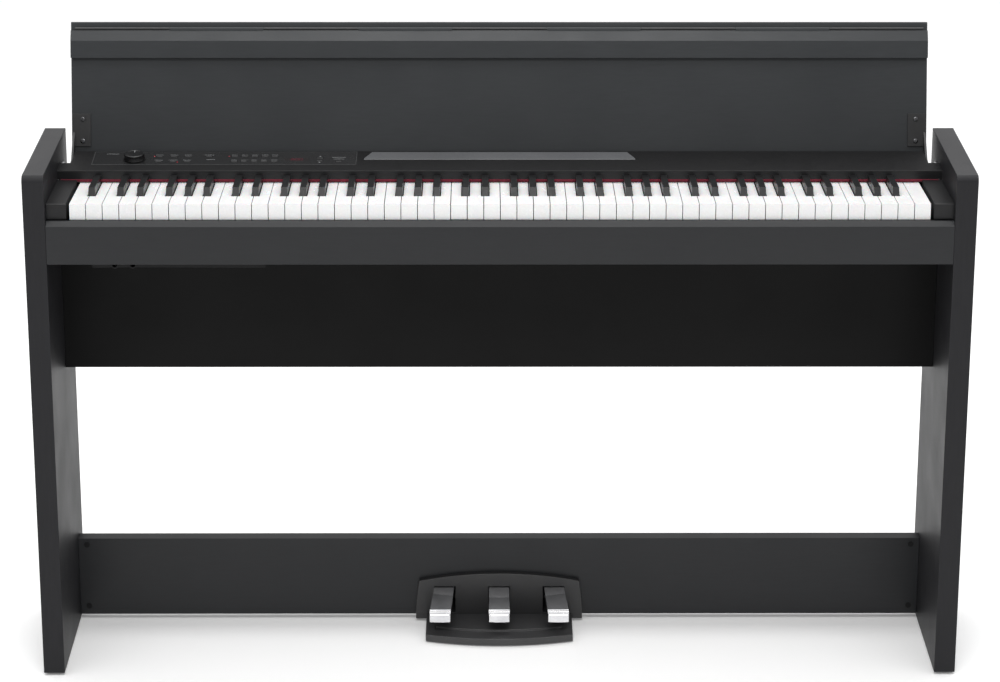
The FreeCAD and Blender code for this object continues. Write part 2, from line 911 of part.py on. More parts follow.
def on_slope(obj):
    """Carries an object drawn flat, with its origin on the lip's top edge, onto the top board's slope."""
    return tilt(obj, y(s.lip_depth), s.lip_top, s.top_slope)


def function_places():
    """The X and the row of each function button, in the slope's own frame."""
    columns = [-s.function_first + s.function_pitch * column for column in range(3)]
    places = [(column, row) for column in columns for row in (s.front_row, s.rear_row)]
    return places + [(-s.bank_place, s.rear_row), (-s.demo_place, s.front_row)]


def sound_places():
    columns = [-s.sound_first + s.sound_pitch * column for column in range(5)]
    return [(column, row) for column in columns for row in (s.front_row, s.rear_row)]


def button(name, at, spare, heights):
    """A rectangular button, or its hole when spare is more than nothing."""
    long_half = s.button_long / 2 + spare
    wide_half = s.button_wide / 2 + spare
    spans = ((at[0] - long_half, at[0] + long_half), (at[1] - wide_half, at[1] + wide_half))
    return box(name, spans[0], spans[1], heights)


def knob_at():
    return (-s.knob_place, s.knob_row)


def control_window(name, margin, heights):
    """A block as large as the control panel, less a margin all round."""
    across = (-s.control_left + margin, -s.control_right - margin)
    return box(name, across, (s.control_front + margin, s.control_rear - margin), heights)


def top_board():
    outline = [
        (0, s.lip_bottom - s.lip_top),
        (0, 0),
        (s.top_rear_depth - s.lip_depth, s.top_rear_height - s.lip_top),
        (s.top_rear_depth - s.lip_depth, s.top_rear_height - s.lip_top - s.top_thick),
        (s.lip_thick, -s.top_thick),
        (s.lip_thick, s.lip_bottom - s.lip_top),
    ]
    board = profile("top", outline, (-INNER, INNER), [(1, 1.5)])
    place(board, 0, y(s.lip_depth), s.lip_top)
    notch = box(
        "ear_notch",
        (INNER - s.ear_notch_width, INNER + 1),
        (y(s.ear_notch_depth), y(s.top_rear_depth + 1)),
        (s.lip_bottom, s.top_rear_height + 5),
    )
    recess = on_slope(fuse("control_recess", [
        control_window("panel_seat", 0, (-s.control_thick, 5)),
        control_window("panel_opening", s.control_ledge, (-s.top_thick - 5, 0)),
    ]))
    ledge_seat = on_slope(group("ledge_recess", [
        ledge_blank("ledge_seat", s.ledge_gap, (-s.ledge_thick - s.ledge_gap, 5)),
        ledge_pins("ledge_pin_holes", s.ledge_pin_radius + s.running_gap, s.ledge_pin_long + s.ledge_gap),
    ]))
    tools = [notch, mirror("ear_notch_mirrored", notch), recess, ledge_seat]
    keep("top_board", cut("top_board_cut", board, tools))


def ledge_blank(name, spare, heights):
    """The ledge's four-sided plan, wider at the front, grown by a spare margin."""
    front = s.ledge_front - spare
    rear = s.ledge_front + s.ledge_length + spare
    outline = [
        (-s.ledge_front_half - spare, front),
        (s.ledge_front_half + spare, front),
        (s.ledge_rear_half + spare, rear),
        (-s.ledge_rear_half - spare, rear),
    ]
    return plate(name, outline, heights)


def ledge_axis():
    """The row and height of the ledge's hinge line, in the slope's own frame."""
    return (s.ledge_front + s.ledge_thick / 2, -s.ledge_thick / 2)


def ledge_pins(name, radius, reach):
    span = (-s.ledge_front_half - reach, s.ledge_front_half + reach)
    return cylinder(name, "x", ledge_axis(), span, radius)


def music_ledge():
    """A flush plate that swings up about its front edge, which is rounded about the hinge line."""
    row, height = ledge_axis()
    flat = ledge_blank("ledge_flat", 0, (-s.ledge_thick, 0))
    front = box(
        "ledge_front_edge",
        (-s.ledge_front_half - 1, s.ledge_front_half + 1),
        (s.ledge_front - 1, row),
        (-s.ledge_thick - 1, 1),
    )
    nose_half = s.ledge_front_half - s.ledge_nose_short
    nose = cylinder("ledge_nose", "x", (row, height), (-nose_half, nose_half), s.ledge_thick / 2)
    clear = box(
        "ledge_swing_clearance",
        (nose_half, s.ledge_front_half + 1),
        (s.ledge_front - 1, s.ledge_front + s.ledge_length),
        (-s.ledge_thick - 1, 1),
    )
    trimmed = cut("ledge_trimmed", flat, [front, clear, mirror("ledge_swing_clearance_mirrored", clear)])
    pins = ledge_pins("ledge_pins", s.ledge_pin_radius, s.ledge_pin_long)
    keep("music_ledge", on_slope(fuse("ledge", [trimmed, nose, pins])))


def controls():
    proud = (-s.control_pcb_drop + s.pcb_thick + s.button_travel + 0.2, s.button_proud)
    through = (-s.control_thick - 1, 1)
    panel = control_window("panel_sheet", s.running_gap, (-s.control_thick, 0))
    arrows = {
        "down_button": (-s.arrow_place, s.arrow_front_row),
        "up_button": (-s.arrow_place, s.arrow_rear_row),
    }
    holes = []
    for number, at in enumerate(function_places() + sound_places() + list(arrows.values())):
        holes.append(button(f"button_hole{number}", at, s.button_gap, through))
    holes.append(cylinder("shaft_hole", "z", knob_at(), through, s.shaft_radius + s.button_gap))
    window_spans = ((-s.window_left, -s.window_right), (s.window_front, s.window_rear))
    holes.append(box("window_seat", window_spans[0], window_spans[1], (-s.window_thick, 1)))
    keep("control_panel", on_slope(cut("panel_cut", panel, holes)))
    keep("display_window", on_slope(group("window_set", [
        box("window_lens", window_spans[0], window_spans[1], (-s.window_thick, 0)),
    ])))
    sounds = [button(f"sound{n}", at, 0, proud) for n, at in enumerate(sound_places())]
    keep("sound_buttons", on_slope(group("sound_set", sounds)))
    functions = [button(f"function{n}", at, 0, proud) for n, at in enumerate(function_places())]
    keep("function_buttons", on_slope(group("function_set", functions)))
    for node, at in arrows.items():
        keep(node, on_slope(group(node + "_set", [button(node + "_cap", at, 0, proud)])))
    volume_control()


def volume_control():
    """The volume knob, and the potentiometer whose shaft it turns on."""
    pcb_top = -s.control_pcb_drop + s.pcb_thick
    at = knob_at()
    skirt = cylinder("knob_skirt", "z", at, (s.knob_float, s.knob_tall - 2), s.knob_radius)
    crown = doc.addObject("Part::Cone", "knob_crown")
    bind(crown, "Radius1", s.knob_radius)
    bind(crown, "Radius2", s.knob_top_radius)
    bind(crown, "Height", 2)
    place(crown, at[0], at[1], s.knob_tall - 2)
    hole = cylinder("knob_bore", "z", at, (0, s.shaft_tall + 0.3), s.shaft_radius + s.running_gap)
    keep("volume_knob", on_slope(cut("knob", fuse("knob_whole", [skirt, crown]), [hole])))
    half = s.pot_half
    body = box(
        "pot_body",
        (at[0] - half, at[0] + half),
        (at[1] - half, at[1] + half),
        (pcb_top, -s.control_thick - 1),
    )
    shaft = cylinder("pot_shaft", "z", at, (-s.control_thick - 2, s.shaft_tall), s.shaft_radius)
    keep("volume_potentiometer", on_slope(fuse("pot", [body, shaft])))


def circuit_boards():
    """The control board under the panel, the key sensor board and the main board on the back panel."""
    low = -s.control_pcb_drop
    control = on_slope(group("control_pcb_set", [
        control_window("control_pcb", s.control_ledge + 1, (low, low + s.pcb_thick)),
    ]))
    span = s.white_pitch * (SIZES["white_count"] / 2)
    sensor = box(
        "sensor_pcb",
        (-span, span),
        (y(s.sensor_front), y(s.sensor_rear)),
        (s.rib_low_top, s.rib_low_top + s.pcb_thick),
    )
    face = s.back_depth - s.main_pcb_standoff
    main = box(
        "main_pcb",
        (-s.main_pcb_half, s.main_pcb_half),
        (y(face - s.pcb_thick), y(face)),
        (s.main_pcb_bottom, s.main_pcb_top),
    )
    posts = []
    for across in (-1, 1):
        for height in (s.main_pcb_bottom + 8, s.main_pcb_top - 8):
            centre = ((s.main_pcb_half - 8) * across, height)
            posts.append(cylinder("standoff", "y", centre, (y(face - 1), y(s.back_depth)), 3))
    chips = [
        box("processor", (-20, 12), (y(face - s.pcb_thick - 2), y(face - 1)), (565, 597)),
        box("amplifier", (50, 86), (y(face - s.pcb_thick - 14), y(face - 1)), (558, 590)),
        box("capacitors", (-84, -52), (y(face - s.pcb_thick - 16), y(face - 1)), (556, 572)),
    ]
    keep("circuit_boards", group("boards", [control, sensor, fuse("main_board_whole", [main] + posts + chips)]))


# ---------------------------------------------------------------- lid


def on_lid(obj):
    """Carries an object drawn in the lid's upright frame to the open lid, which leans back."""
    return tilt(obj, y(s.lid_pivot_depth), s.lid_pivot_height, -s.lid_lean)


def lid():
    across = (-s.lid_half, s.lid_half)
    back = s.lid_face + s.lid_thick
    outline = [(s.lid_face, -s.lid_tail), (s.lid_face, s.lid_reach), (back, s.lid_reach), (back, -s.lid_tail)]
    keep("lid_panel", on_lid(profile("lid", outline, across, [(1, s.lid_round), (2, s.lid_round)])))
    flap_outline = [
        (s.flap_face, s.flap_bottom),
        (s.flap_face, s.flap_knee),
        (s.flap_tip_face, s.flap_top),
        (s.flap_back, s.flap_top),
        (s.flap_back, s.flap_bottom),
    ]
    board = profile("flap_board", flap_outline, across)
    hinge = (s.flap_hinge_face, s.flap_hinge_up)
    pieces = [board]
    bores = []
    for number in (-1.5, -0.5, 0.5, 1.5):
        middle = s.lug_pitch * number
        span = (middle - s.lug_half, middle + s.lug_half)
        pieces.append(cylinder("lug_barrel", "x", hinge, span, s.flap_barrel))
        faces = (s.flap_hinge_face - s.flap_barrel, s.flap_back)
        pieces.append(box("lug_web", span, faces, (s.flap_top - 1, s.flap_hinge_up)))
        bores.append(cylinder("lug_bore", "x", hinge, (span[0] - 1, span[1] + 1), s.flap_rod_radius + s.running_gap))
    keep("lid_flap", on_lid(cut("flap", fuse("flap_whole", pieces), bores)))
    parts = [cylinder("flap_rod", "x", hinge, (-s.flap_rod_half, s.flap_rod_half), s.flap_rod_radius)]
    for number in (-2, -1, 0, 1, 2):
        middle = s.lug_pitch * number
        span = (middle - s.knuckle_half, middle + s.knuckle_half)
        parts.append(cylinder("knuckle_barrel", "x", hinge, span, s.flap_barrel))
        half = s.flap_barrel - 0.3
        heights = (s.flap_hinge_up - half, s.flap_hinge_up + half)
        parts.append(box("knuckle_web", span, (s.flap_hinge_face, s.lid_face), heights))
    keep("flap_hinge", on_lid(fuse("flap_hinge_whole", parts)))


def lid_hardware():
    front = s.lid_face - s.bracket_thick
    spread = box(
        "bracket_plate",
        (s.bracket_inner, s.bracket_outer),
        (front, s.lid_face),
        (s.bracket_low, s.bracket_high),
    )
    ear_span = (s.bracket_outer - s.ear_thick, s.bracket_outer)
    ear_outline = [
        (0, -s.ear_radius),
        (s.lid_face, s.ear_root_low),
        (s.lid_face, s.ear_root_high),
        (front, s.ear_root_high),
        (2, s.ear_radius + 1),
        (-4, s.ear_radius - 2),
    ]
    ear = profile("ear", ear_outline, ear_span)
    eye = cylinder("ear_eye", "x", (0, 0), ear_span, s.ear_radius)
    hole_span = (s.pin_inner, INNER)
    hole = cylinder("ear_hole", "x", (0, 0), hole_span, s.pin_radius + s.running_gap)
    bracket = cut("bracket", fuse("bracket_whole", [spread, ear, eye]), [hole])
    keep("lid_brackets", on_lid(pair("brackets", bracket)))
    middle = (s.bracket_inner + s.bracket_outer - s.ear_thick) / 2
    heads = []
    for height in (s.bracket_low + s.screw_inset, s.bracket_high - s.screw_inset):
        heads.append(cylinder("bracket_screw", "y", (middle, height), (front - s.screw_tall, front), s.screw_radius))
    heads += [mirror("bracket_screw_mirrored", head) for head in heads]
    keep("bracket_screws", on_lid(group("bracket_screw_set", heads)))
    line = (y(s.lid_pivot_depth), s.lid_pivot_height)
    pin = cylinder("pin", "x", line, hole_span, s.pin_radius)
    collar = cylinder("pin_collar", "x", line, (INNER - s.collar_thick, INNER), s.collar_radius)
    keep("lid_pins", pair("pins", fuse("pin_whole", [pin, collar])))


# ---------------------------------------------------------------- speakers and connections


def speakers():
    floor_top = s.box_bottom + s.board_thick
    centre = (s.speaker_place, y(s.speaker_depth))
    rim_top = floor_top + s.speaker_frame_thick
    rim = cylinder("speaker_rim", "z", centre, (floor_top, rim_top), s.speaker_frame)
    basket = doc.addObject("Part::Cone", "speaker_basket")
    bind(basket, "Radius1", s.speaker_hole)
    bind(basket, "Radius2", s.magnet_radius)
    bind(basket, "Height", s.cone_deep)
    place(basket, centre[0], centre[1], rim_top)
    magnet_low = rim_top + s.cone_deep
    magnet = cylinder("magnet", "z", centre, (magnet_low, magnet_low + s.magnet_tall), s.magnet_radius)
    dish = doc.addObject("Part::Cone", "speaker_dish")
    bind(dish, "Radius1", s.speaker_hole - 3)
    bind(dish, "Radius2", s.cone_small)
    bind(dish, "Height", s.cone_deep)
    place(dish, centre[0], centre[1], floor_top)
    driver = cut("driver", fuse("driver_whole", [rim, basket, magnet]), [dish])
    keep("speakers", pair("drivers", driver))
    heights = (s.box_bottom - s.grille_thick, s.box_bottom)
    disc = cylinder("grille_disc", "z", centre, heights, s.grille_radius)
    holes = []
    for ring in range(4):
        count = max(1, 6 * ring)
        radius = s.grille_ring * ring
        for number in range(count):
            spot = FreeCAD.Rotation(FreeCAD.Vector(0, 0, 1), 360 * number / count).multVec(FreeCAD.Vector(1, 0, 0))
            at = (centre[0] + radius * round(spot.x, 6), centre[1] + radius * round(spot.y, 6))
            holes.append(cylinder("grille_hole", "z", at, (heights[0] - 1, heights[1] + 1), s.grille_hole))
    keep("speaker_grilles", pair("grilles", cut("grille", disc, holes)))


def jack_box():
    depths = (y(s.jack_front), y(s.jack_rear))
    shell = box("jack_shell", (-s.jack_left, -s.jack_right), depths, (s.jack_bottom, s.bed_bottom))
    pieces = [shell]
    bores = []
    for number in range(2):
        centre = (-s.jack_place + s.jack_pitch * number, s.jack_height)
        nut_span = (y(s.jack_front - s.jack_nut_tall), y(s.jack_front + 1))
        pieces.append(cylinder("jack_nut", "y", centre, nut_span, s.jack_nut))
        bore_span = (y(s.jack_front - 3), y(s.jack_front + s.jack_bore_deep))
        bores.append(cylinder("jack_bore", "y", centre, bore_span, s.jack_bore))
    keep("jack_box", cut("jacks", fuse("jack_whole", pieces), bores))


def power_inlet():
    outer = s.back_depth + s.back_thick
    half = s.inlet_body_half
    flange = box(
        "inlet_plate",
        (s.inlet_place - s.inlet_half_wide, s.inlet_place + s.inlet_half_wide),
        (y(outer), y(outer + s.inlet_flange)),
        (s.inlet_height - s.inlet_half_tall, s.inlet_height + s.inlet_half_tall),
    )
    body = box(
        "inlet_body",
        (s.inlet_place - half, s.inlet_place + half),
        (y(outer - s.inlet_body_deep), y(outer + 1)),
        (s.inlet_height - half, s.inlet_height + half),
    )
    mouth = outer + s.inlet_flange
    span = (y(mouth - s.inlet_bore_deep), y(mouth + 1))
    hole = cylinder("inlet_hole", "y", (s.inlet_place, s.inlet_height), span, s.inlet_bore)
    keep("power_inlet", cut("inlet", fuse("inlet_whole", [flange, body]), [hole]))


# ---------------------------------------------------------------- pedals


def pedal_housing():
    front = s.flange_front
    board = s.pedal_board_front
    flange_box = box("flange_box", (-s.flange_half, s.flange_half), (y(front), y(board)), (s.flange_bottom, 90))
    # the arch is a round arc through both ends and the middle of the flange's top edge
    rise = SIZES["flange_middle_top"] - SIZES["flange_end_top"]
    arch_radius = (SIZES["flange_half"] ** 2 + rise**2) / (2 * rise)
    arch = cylinder("flange_arch", "y", (0, s.flange_middle_top - arch_radius), (y(front), y(board)), arch_radius)
    # each side draws in towards the top on a round arc that is upright at the flange's foot
    sides = []
    for side in (-1, 1):
        centre = ((s.flange_side_radius - s.flange_half) * side, s.flange_bottom)
        sides.append(cylinder("flange_side", "y", centre, (y(front), y(board)), s.flange_side_radius))
    flange = common("flange", common("flange_arched", flange_box, arch), common("flange_sides", *sides))
    heights = (s.unit_bottom, s.unit_top)
    rear_box = box("unit_box", (-s.unit_half, s.unit_half), (y(board - 1), y(s.unit_rear)), heights)
    wall = s.unit_wall
    rib = s.pedal_pitch / 2
    rooms = [
        ("room_left", (-s.unit_half + wall, -rib - s.pedal_rib / 2)),
        ("room_middle", (-rib + s.pedal_rib / 2, rib - s.pedal_rib / 2)),
        ("room_right", (rib + s.pedal_rib / 2, s.unit_half - wall)),
    ]
    inside = (y(front + 4), y(s.unit_rear - wall))
    hollows = [box(name, span, inside, (s.unit_bottom + wall, s.unit_top - wall)) for name, span in rooms]
    slots = []
    for side in (-1, 0, 1):
        across = (s.slot_pitch * side - s.pedal_slot, s.slot_pitch * side + s.pedal_slot)
        slots.append(box("slot", across, (y(front - 1), y(front + 5)), (s.unit_bottom + wall, s.slot_top)))
    rod_line = (y(s.pedal_pivot_depth), s.pedal_pivot_height)
    rod_half = s.unit_half - wall
    hole = cylinder("pedal_rod_hole", "x", rod_line, (-rod_half, rod_half), s.pedal_rod_radius)
    whole = fuse("unit_whole", [flange, rear_box])
    keep("pedal_housing", cut("unit", whole, hollows + slots + [hole]))
    rod = cylinder("pedal_rod", "x", rod_line, (-rod_half, rod_half), s.pedal_rod_radius)
    keep("pedal_pivot_rod", rod)


def pedal(node, side):
    """A pedal about its pivot: a flat shank, a sloping tread and a turned-down nose. The outer two splay forwards."""
    low = s.pedal_top - s.pedal_thick
    middle = s.pedal_pitch * side
    toe_middle = (s.pedal_pitch + s.pedal_splay) * side
    outline = [
        (s.pedal_tail, low),
        (s.pedal_tail, s.pedal_top),
        (-s.pedal_bend, s.pedal_top),
        (-s.pedal_toe + 6, -s.pedal_toe_top),
        (-s.pedal_toe, -s.pedal_toe_top - 6),
        (-s.pedal_toe, -s.pedal_nose),
        (-s.pedal_toe + s.pedal_nose_thick, -s.pedal_nose),
        (-s.pedal_toe + s.pedal_nose_thick + 3, -s.pedal_toe_top - s.pedal_thick + 1),
        (-s.pedal_bend, low),
    ]
    half = s.pedal_toe_half + s.pedal_splay + 1
    whole_side = profile(node + "_side", outline, (middle - half, middle + half), [(4, 5), (3, 8)])
    plan = [
        (middle - s.pedal_rear_half, s.pedal_tail + 1),
        (toe_middle - s.pedal_toe_half, -s.pedal_toe),
        (toe_middle + s.pedal_toe_half, -s.pedal_toe),
        (middle + s.pedal_rear_half, s.pedal_tail + 1),
    ]
    rounds = [(1, s.pedal_toe_round), (2, s.pedal_toe_round)]
    heights = (-s.pedal_nose - 1, s.pedal_top + 1)
    top = plate(node + "_plan", plan, heights, rounds)
    # the toe's front edge is a shallow arc
    bow = cylinder(node + "_bow", "z", (toe_middle, s.pedal_toe_bow - s.pedal_toe), heights, s.pedal_toe_bow)
    blade = common(node + "_blade", common(node + "_body", whole_side, top), bow)
    rear = (middle - s.pedal_rear_half, middle + s.pedal_rear_half)
    barrel = cylinder(node + "_barrel", "x", (0, 0), rear, s.pedal_barrel)
    hole_span = (rear[0] - s.pedal_splay, rear[1] + s.pedal_splay)
    hole = cylinder(node + "_hole", "x", (0, 0), hole_span, s.pedal_rod_radius + s.running_gap)
    shape = group(node + "_set", [cut(node + "_cut", fuse(node + "_whole", [blade, barrel]), [hole])])
    keep(node, tilt(shape, y(s.pedal_pivot_depth), s.pedal_pivot_height, 0))


def pedal_base():
    corner = SIZES["base_corner_depth"]
    bulge = corner - SIZES["base_front_depth"]
    radius = (SIZES["base_half"] ** 2 + bulge**2) / (2 * bulge)
    centre = (0, y(SIZES["base_front_depth"] + radius))
    heights = (s.base_bottom, s.unit_bottom)
    slab = box("base_slab", (-s.base_half, s.base_half), (y(90), y(s.flange_front)), heights)
    disc = cylinder("base_disc", "z", centre, heights, radius)
    body = common("base_body", slab, disc)
    groove_heights = (s.unit_bottom - s.base_groove, s.unit_bottom + 1)
    outer = cylinder("groove_outer", "z", centre, groove_heights, radius - s.base_groove_inset)
    inner_radius = radius - s.base_groove_inset - s.base_groove_wide
    inner = cylinder("groove_inner", "z", centre, groove_heights, inner_radius)
    width = box("groove_width", (-s.base_groove_half, s.base_groove_half), (y(90), y(s.flange_front)), groove_heights)
    ring = common("groove", cut("groove_ring", outer, [inner]), width)
    pads = []
    for side in (-1, 1):
        at = (s.base_pad_place * side, y(s.base_pad_depth))
        pads.append(cylinder("base_pad", "z", at, (0, s.base_bottom + 1), s.base_pad_radius))
    keep("pedal_base", fuse("base", [cut("base_grooved", body, [ring])] + pads))


def write_parts():
    """Checks every object and every finished shape, then writes one file for each node."""
    doc.recompute()
    for obj in doc.Objects:
        if "Invalid" in obj.State or "Error" in obj.State:
            raise RuntimeError(f"{obj.Name} failed: {obj.State}")
    for obj in kept:
        if obj.Shape.isNull() or not obj.Shape.isValid() or not obj.Shape.Solids:
            raise RuntimeError(f"{obj.Label} has no valid solid")
    os.makedirs("parts", exist_ok=True)
    for obj in kept:
        obj.Shape.exportStep(f"parts/{obj.Label}.step")
    print(f"{len(kept)} nodes, {sum(len(obj.Shape.Solids) for obj in kept)} solids")


side_panels()
front_rail()
speaker_box()
key_blocks()
pedal_board()
anti_tip_feet()
keyboard()
key_action_frame()
key_guides()
top_board()
music_ledge()
controls()
circuit_boards()
lid()
lid_hardware()
speakers()
jack_box()
power_inlet()
pedal_housing()
for pedal_node, pedal_side in (("pedal_left", -1), ("pedal_middle", 0), ("pedal_right", 1)):
    pedal(pedal_node, pedal_side)
pedal_base()
write_parts()
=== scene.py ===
"""The visual model of a digital piano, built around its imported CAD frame. Lengths are in metres unless named _mm."""
import json
import random
from math import atan2, cos, pi, radians, sin

import bmesh
import bpy
from mathutils import Matrix, Vector

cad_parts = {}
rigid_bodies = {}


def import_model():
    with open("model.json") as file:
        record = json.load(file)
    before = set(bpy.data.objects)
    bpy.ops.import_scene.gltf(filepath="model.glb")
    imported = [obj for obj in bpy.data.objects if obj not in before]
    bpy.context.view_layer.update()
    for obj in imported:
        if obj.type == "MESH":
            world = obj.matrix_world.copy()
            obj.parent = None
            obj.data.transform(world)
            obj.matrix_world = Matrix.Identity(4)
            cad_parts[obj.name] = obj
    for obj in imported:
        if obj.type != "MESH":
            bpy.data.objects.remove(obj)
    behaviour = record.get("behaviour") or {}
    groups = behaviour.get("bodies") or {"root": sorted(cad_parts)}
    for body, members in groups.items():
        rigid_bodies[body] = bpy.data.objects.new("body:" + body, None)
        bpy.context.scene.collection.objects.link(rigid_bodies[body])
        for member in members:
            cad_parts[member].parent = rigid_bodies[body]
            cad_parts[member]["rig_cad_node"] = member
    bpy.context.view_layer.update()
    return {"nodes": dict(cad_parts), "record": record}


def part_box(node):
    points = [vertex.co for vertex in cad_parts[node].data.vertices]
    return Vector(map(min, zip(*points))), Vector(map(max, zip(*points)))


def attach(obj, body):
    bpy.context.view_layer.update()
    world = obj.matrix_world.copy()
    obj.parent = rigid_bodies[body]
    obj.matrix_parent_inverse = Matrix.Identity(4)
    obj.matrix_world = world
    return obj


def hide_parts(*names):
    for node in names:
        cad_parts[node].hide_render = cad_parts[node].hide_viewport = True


MM = 0.001
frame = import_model()
nodes = frame["nodes"]
# the front plane of the side panels, which depths are counted from
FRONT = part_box("side_panel_left")[0].y

# the top board slopes up to the back from the upper edge of its lip
LIP_DEPTH_MM = 148
LIP_TOP_MM = 738
SLOPE = radians(5)
ON_SLOPE = Matrix.Translation((0, FRONT + LIP_DEPTH_MM * MM, LIP_TOP_MM * MM)) @ Matrix.Rotation(SLOPE, 4, "X")
# the open lid leans back about its pivot
LID_PIVOT_MM = (212, 728)
LID_LEAN = radians(-14)
ON_LID = (
    Matrix.Translation((0, FRONT + LID_PIVOT_MM[0] * MM, LID_PIVOT_MM[1] * MM))
    @ Matrix.Rotation(LID_LEAN, 4, "X")
)


def linear(red, green, blue):
    """A colour given in display values from 0 to 255, as the shader's linear colour."""
    values = [channel / 255 for channel in (red, green, blue)]
    curve = [v / 12.92 if v <= 0.04045 else ((v + 0.055) / 1.055) ** 2.4 for v in values]
    return (*curve, 1.0)


# ---------------------------------------------------------------- materials


class Surface:
    """A procedural material. Its colour, roughness and relief come from noise at the real surface's own scales."""

    def __init__(self, name, color, roughness, metallic=0.0, **constants):
        self.material = bpy.data.materials.new(name)
        self.material.use_nodes = True
        self.tree = self.material.node_tree
        self.shader = self.tree.nodes["Principled BSDF"]
        self.shader.inputs["Base Color"].default_value = color
        self.shader.inputs["Roughness"].default_value = roughness
        self.shader.inputs["Metallic"].default_value = metallic
        for socket, value in constants.items():
            self.shader.inputs[socket.replace("_", " ")].default_value = value
        self.coordinates = self.add("ShaderNodeTexCoord").outputs["Object"]
        self.color = None
        self.base = color
        self.normal = None

    def add(self, kind, **values):
        node = self.tree.nodes.new(kind)
        for key, value in values.items():
            setattr(node, key, value)
        return node

    def link(self, source, target):
        self.tree.links.new(source, target)

    def noise(self, size, detail=2.0, roughness=0.5, stretch=(1, 1, 1), distortion=0.0):
        """A noise whose features are about size metres across, stretched along X, Y and Z."""
        mapping = self.add("ShaderNodeMapping")
        mapping.inputs["Scale"].default_value = [1 / (size * s) for s in stretch]
        self.link(self.coordinates, mapping.inputs["Vector"])
        noise = self.add("ShaderNodeTexNoise")
        noise.inputs["Scale"].default_value = 1.0
        noise.inputs["Detail"].default_value = detail
        noise.inputs["Roughness"].default_value = roughness
        noise.inputs["Distortion"].default_value = distortion
        self.link(mapping.outputs["Vector"], noise.inputs["Vector"])
        return noise.outputs["Fac"]

    def cells(self, size, stretch=(1, 1, 1), feature="F1"):
        """A cellular texture, for moulded grain."""
        mapping = self.add("ShaderNodeMapping")
        mapping.inputs["Scale"].default_value = [1 / (size * s) for s in stretch]
        self.link(self.coordinates, mapping.inputs["Vector"])
        voronoi = self.add("ShaderNodeTexVoronoi", feature=feature)
        voronoi.inputs["Scale"].default_value = 1.0
        self.link(mapping.outputs["Vector"], voronoi.inputs["Vector"])
        return voronoi.outputs["Distance"]

    def spread(self, source, low, high, to_low=0.0, to_high=1.0):
        """Maps a value from one range to another, with its ends held."""
        node = self.add("ShaderNodeMapRange")
        for socket, value in zip(("From Min", "From Max", "To Min", "To Max"), (low, high, to_low, to_high)):
            node.inputs[socket].default_value = value
        self.link(source, node.inputs["Value"])
        return node.outputs["Result"]

    def tint(self, source, color, low=0.35, high=0.65, amount=1.0):
        """Mixes another colour in where the source is high."""
        mix = self.add("ShaderNodeMix", data_type="RGBA")
        self.link(self.spread(source, low, high, 0.0, amount), mix.inputs["Factor"])
        if self.color is None:
            mix.inputs["A"].default_value = self.base
        else:
            self.link(self.color, mix.inputs["A"])
        mix.inputs["B"].default_value = color
        self.color = mix.outputs["Result"]
        self.link(self.color, self.shader.inputs["Base Color"])
        return self

    def polish(self, source, smooth, rough, low=0.3, high=0.7):
        """Roughness between two values, following the source."""
        self.link(self.spread(source, low, high, smooth, rough), self.shader.inputs["Roughness"])
        return self

    def relief(self, source, depth, strength=1.0):
        """Relief of a depth in metres."""
        bump = self.add("ShaderNodeBump")
        bump.inputs["Distance"].default_value = depth
        bump.inputs["Strength"].default_value = strength
        self.link(source, bump.inputs["Height"])
        if self.normal is not None:
            self.link(self.normal, bump.inputs["Normal"])
        self.normal = bump.outputs["Normal"]
        self.link(self.normal, self.shader.inputs["Normal"])
        return self

    def worn_and_highlit_edges(self, radius, color, amount):
        """A paler line along outer edges, broken up by noise: partly rubbed wear, partly a painted edge highlight."""
        soft = self.add("ShaderNodeBevel", samples=4)
        soft.inputs["Radius"].default_value = radius
        flat = self.add("ShaderNodeNewGeometry")
        dot = self.add("ShaderNodeVectorMath", operation="DOT_PRODUCT")
        self.link(soft.outputs["Normal"], dot.inputs[0])
        self.link(flat.outputs["Normal"], dot.inputs[1])
        edge = self.spread(dot.outputs["Value"], 0.985, 0.90)
        broken = self.spread(self.noise(0.012, 3.0), 0.35, 0.6)
        both = self.add("ShaderNodeMath", operation="MULTIPLY")
        self.link(edge, both.inputs[0])
        self.link(broken, both.inputs[1])
        return self.tint(both.outputs["Value"], color, 0.0, 1.0, amount)


def shade(color, factor):
    return (*[min(1.0, channel * factor) for channel in color[:3]], 1.0)


def foil(name, color, along=(9, 1, 1), gleam=0.3, rough=0.38, ior=1.5):
    """Satin black foil on board, with a fine pressed grain that runs along the board."""
    surface = Surface(name, color, rough, Specular_IOR_Level=gleam, IOR=ior)
    surface.tint(surface.noise(0.35, 3.0), shade(color, 1.10))
    surface.tint(surface.noise(0.003, 2.0, 0.6, along), shade(color, 0.88), amount=0.6)
    # paler edges: partly rubbed wear, partly a painted edge highlight
    surface.worn_and_highlit_edges(0.0012, shade(color, 2.6), 0.5)
    surface.polish(surface.noise(0.09, 3.0, 0.5), rough - 0.04, rough + 0.04)
    surface.relief(surface.noise(0.0011, 2.0, 0.6, along), 0.00003)
    surface.relief(surface.cells(0.0006), 0.00002)
    return surface.material


def moulded(name, color, roughness, grain=0.0005, depth=0.00003, gleam=0.5):
    """Moulded plastic with a fine spark-eroded grain."""
    surface = Surface(name, color, roughness, Specular_IOR_Level=gleam)
    surface.tint(surface.noise(0.09, 3.0), shade(color, 1.2))
    surface.tint(surface.noise(0.0016, 2.0), shade(color, 0.82), amount=0.6)
    surface.polish(surface.noise(0.02, 4.0, 0.6), roughness - 0.05, roughness + 0.07)
    surface.relief(surface.cells(grain), depth)
    return surface.material


